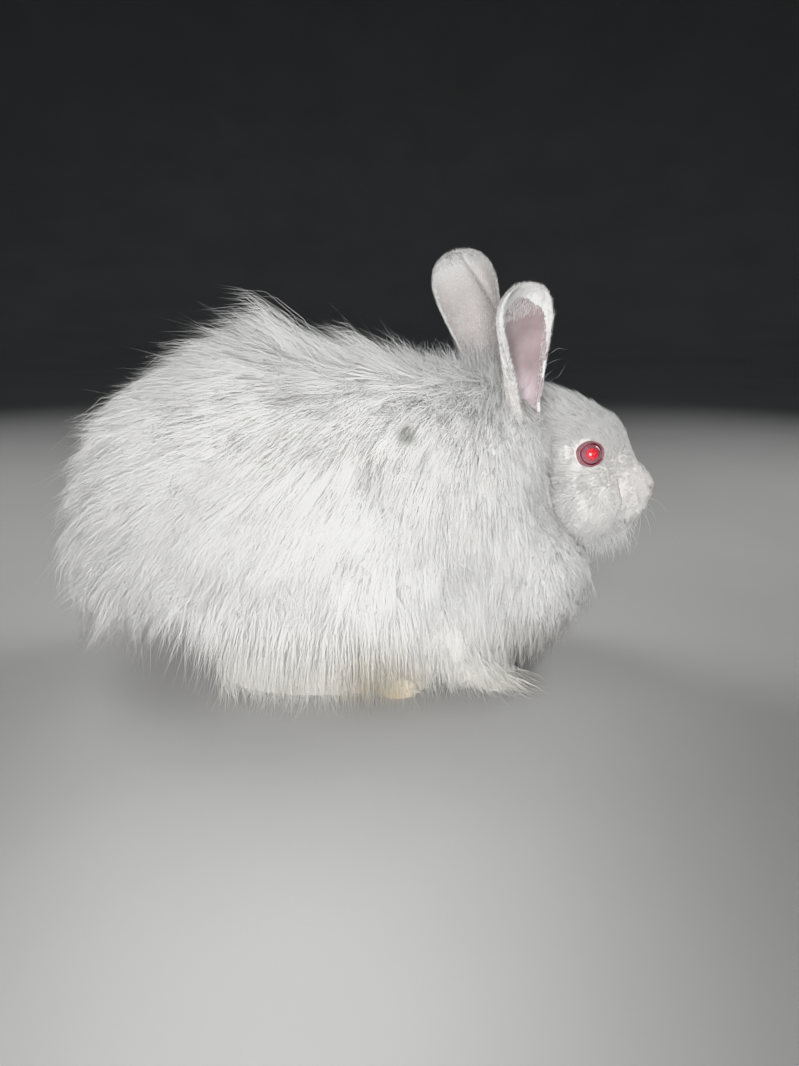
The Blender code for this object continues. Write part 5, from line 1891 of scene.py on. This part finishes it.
def make_floor():
    """A plain round floor that curves up into a backdrop far from the rabbit."""
    made = mottled_material("studio_floor")
    profile = [(FLOOR_RADIUS * share, 0.0) for share in (0.05, 0.3, 0.7, 1.0)]
    for ring in range(1, BOWL_RINGS + 1):
        turn = math.pi / 2 * ring / BOWL_RINGS
        profile.append((FLOOR_RADIUS + BOWL_RISE * math.sin(turn), BOWL_RISE * (1 - math.cos(turn))))
    staged("studio_floor", profile, made, True)
    reach = FLOOR_RADIUS + BOWL_RISE
    wall = staged("studio_wall", ((reach, BOWL_RISE), (reach, WALL_TOP)), made, False)
    wall.visible_diffuse = False
    wall.visible_shadow = False
    wall.visible_transmission = False


def ride(piece, slot, *nodes):
    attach(piece, ROOT)
    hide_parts(*nodes)


coat = new_collection("looks")
scratch = new_collection("scratch")


def make_skin(head, core, grids):
    """One mesh of the head, body, ears, legs and feet."""
    skin = object_from_arrays("skin", *core, coat)
    others = [object_from_arrays("head_part", *head, scratch)]
    others += [object_from_arrays("ear_part", *ear_shell(*grid), scratch) for grid in grids.values()]
    others += leg_parts(scratch)
    unite(skin, others, scratch)
    names = ("skin", None, "nose_skin", "ear_back", "under_wool")
    materials = [mottled_material(name) if name else ear_inside_material() for name in names]
    paint_zones(skin, list(grids.values()), materials)
    ride(smooth_shaded(skin), "short_fur", "head", "neck", "torso", "tail", "fore_leg_right", "fore_leg_left",
         "hind_leg_right", "hind_leg_left", "ear_right", "ear_left")


def make_coat(head, core, grids, wool, fur):
    """The wool of the body, and the short fur of the head and ears."""
    for piece in make_wool(core, wool) + make_fuzz(core, wool):
        ride(piece, "wool", "neck", "torso", "tail", "hind_leg_right", "hind_leg_left")
    for piece in make_head_fur(head, fur):
        ride(piece, "short_fur", "head")
    chance = np.random.default_rng(EAR_FUR_SEED)
    for name, grid in grids.items():
        ride(make_ear_fur(name.replace("ear", "ear_fur"), grid, fur, chance), "short_fur", name)
    free = (make_nape(core, wool), make_wisps(wool), make_points(core, wool), make_hem(core, wool))
    for piece in free:
        ride(piece, "wool", "neck", "torso")
    ride(make_paw_tufts(wool), "wool", "fore_leg_right", "fore_leg_left", "hind_leg_right", "hind_leg_left")
    ride(make_fringe(head, fur), "short_fur", "head")


def make_feet(fur):
    """The fur and claws of the feet."""
    claw = mottled_material("claw")
    chance = np.random.default_rng(FOOT_FUR_SEED)
    for word, side in SIDES:
        feet = make_foot_fur(f"foot_fur_{word}", side, fur, chance)
        ride(feet, "short_fur", f"hind_leg_{word}", f"fore_leg_{word}")
        hind = make_claws(f"claws_hind_{word}", side, HIND_TOES, FOOT_CENTRE[1], TOE_RADII, claw)
        fore = make_claws(f"claws_fore_{word}", side, FORE_TOES, PAW_CENTRE[1], FORE_TOE_RADII, claw)
        ride(hind, "eye", f"hind_leg_{word}")
        ride(fore, "eye", f"fore_leg_{word}")


def main():
    make_camera()
    make_floor()
    light_scene()
    head, core = head_skin(), body_core()
    grids = {name: ear_grid(ear) for name, ear in EARS.items()}
    make_skin(head, core, grids)
    wool, fur = wool_material(), mottled_material("short_fur")
    make_coat(head, core, grids, wool, fur)
    ride(make_whiskers(mottled_material("whisker")), "short_fur", "head")
    make_feet(fur)
    lid = mottled_material("eyelid")
    for word, side in SIDES:
        ride(make_eye(f"eyeball_{word}", side, eye_material(f"eye_{word}", side)), "eye", f"eye_{word}")
        ride(make_lids(f"lids_{word}", side, lid), "ear_skin", "head")


main()
bpy.data.collections.remove(scratch)
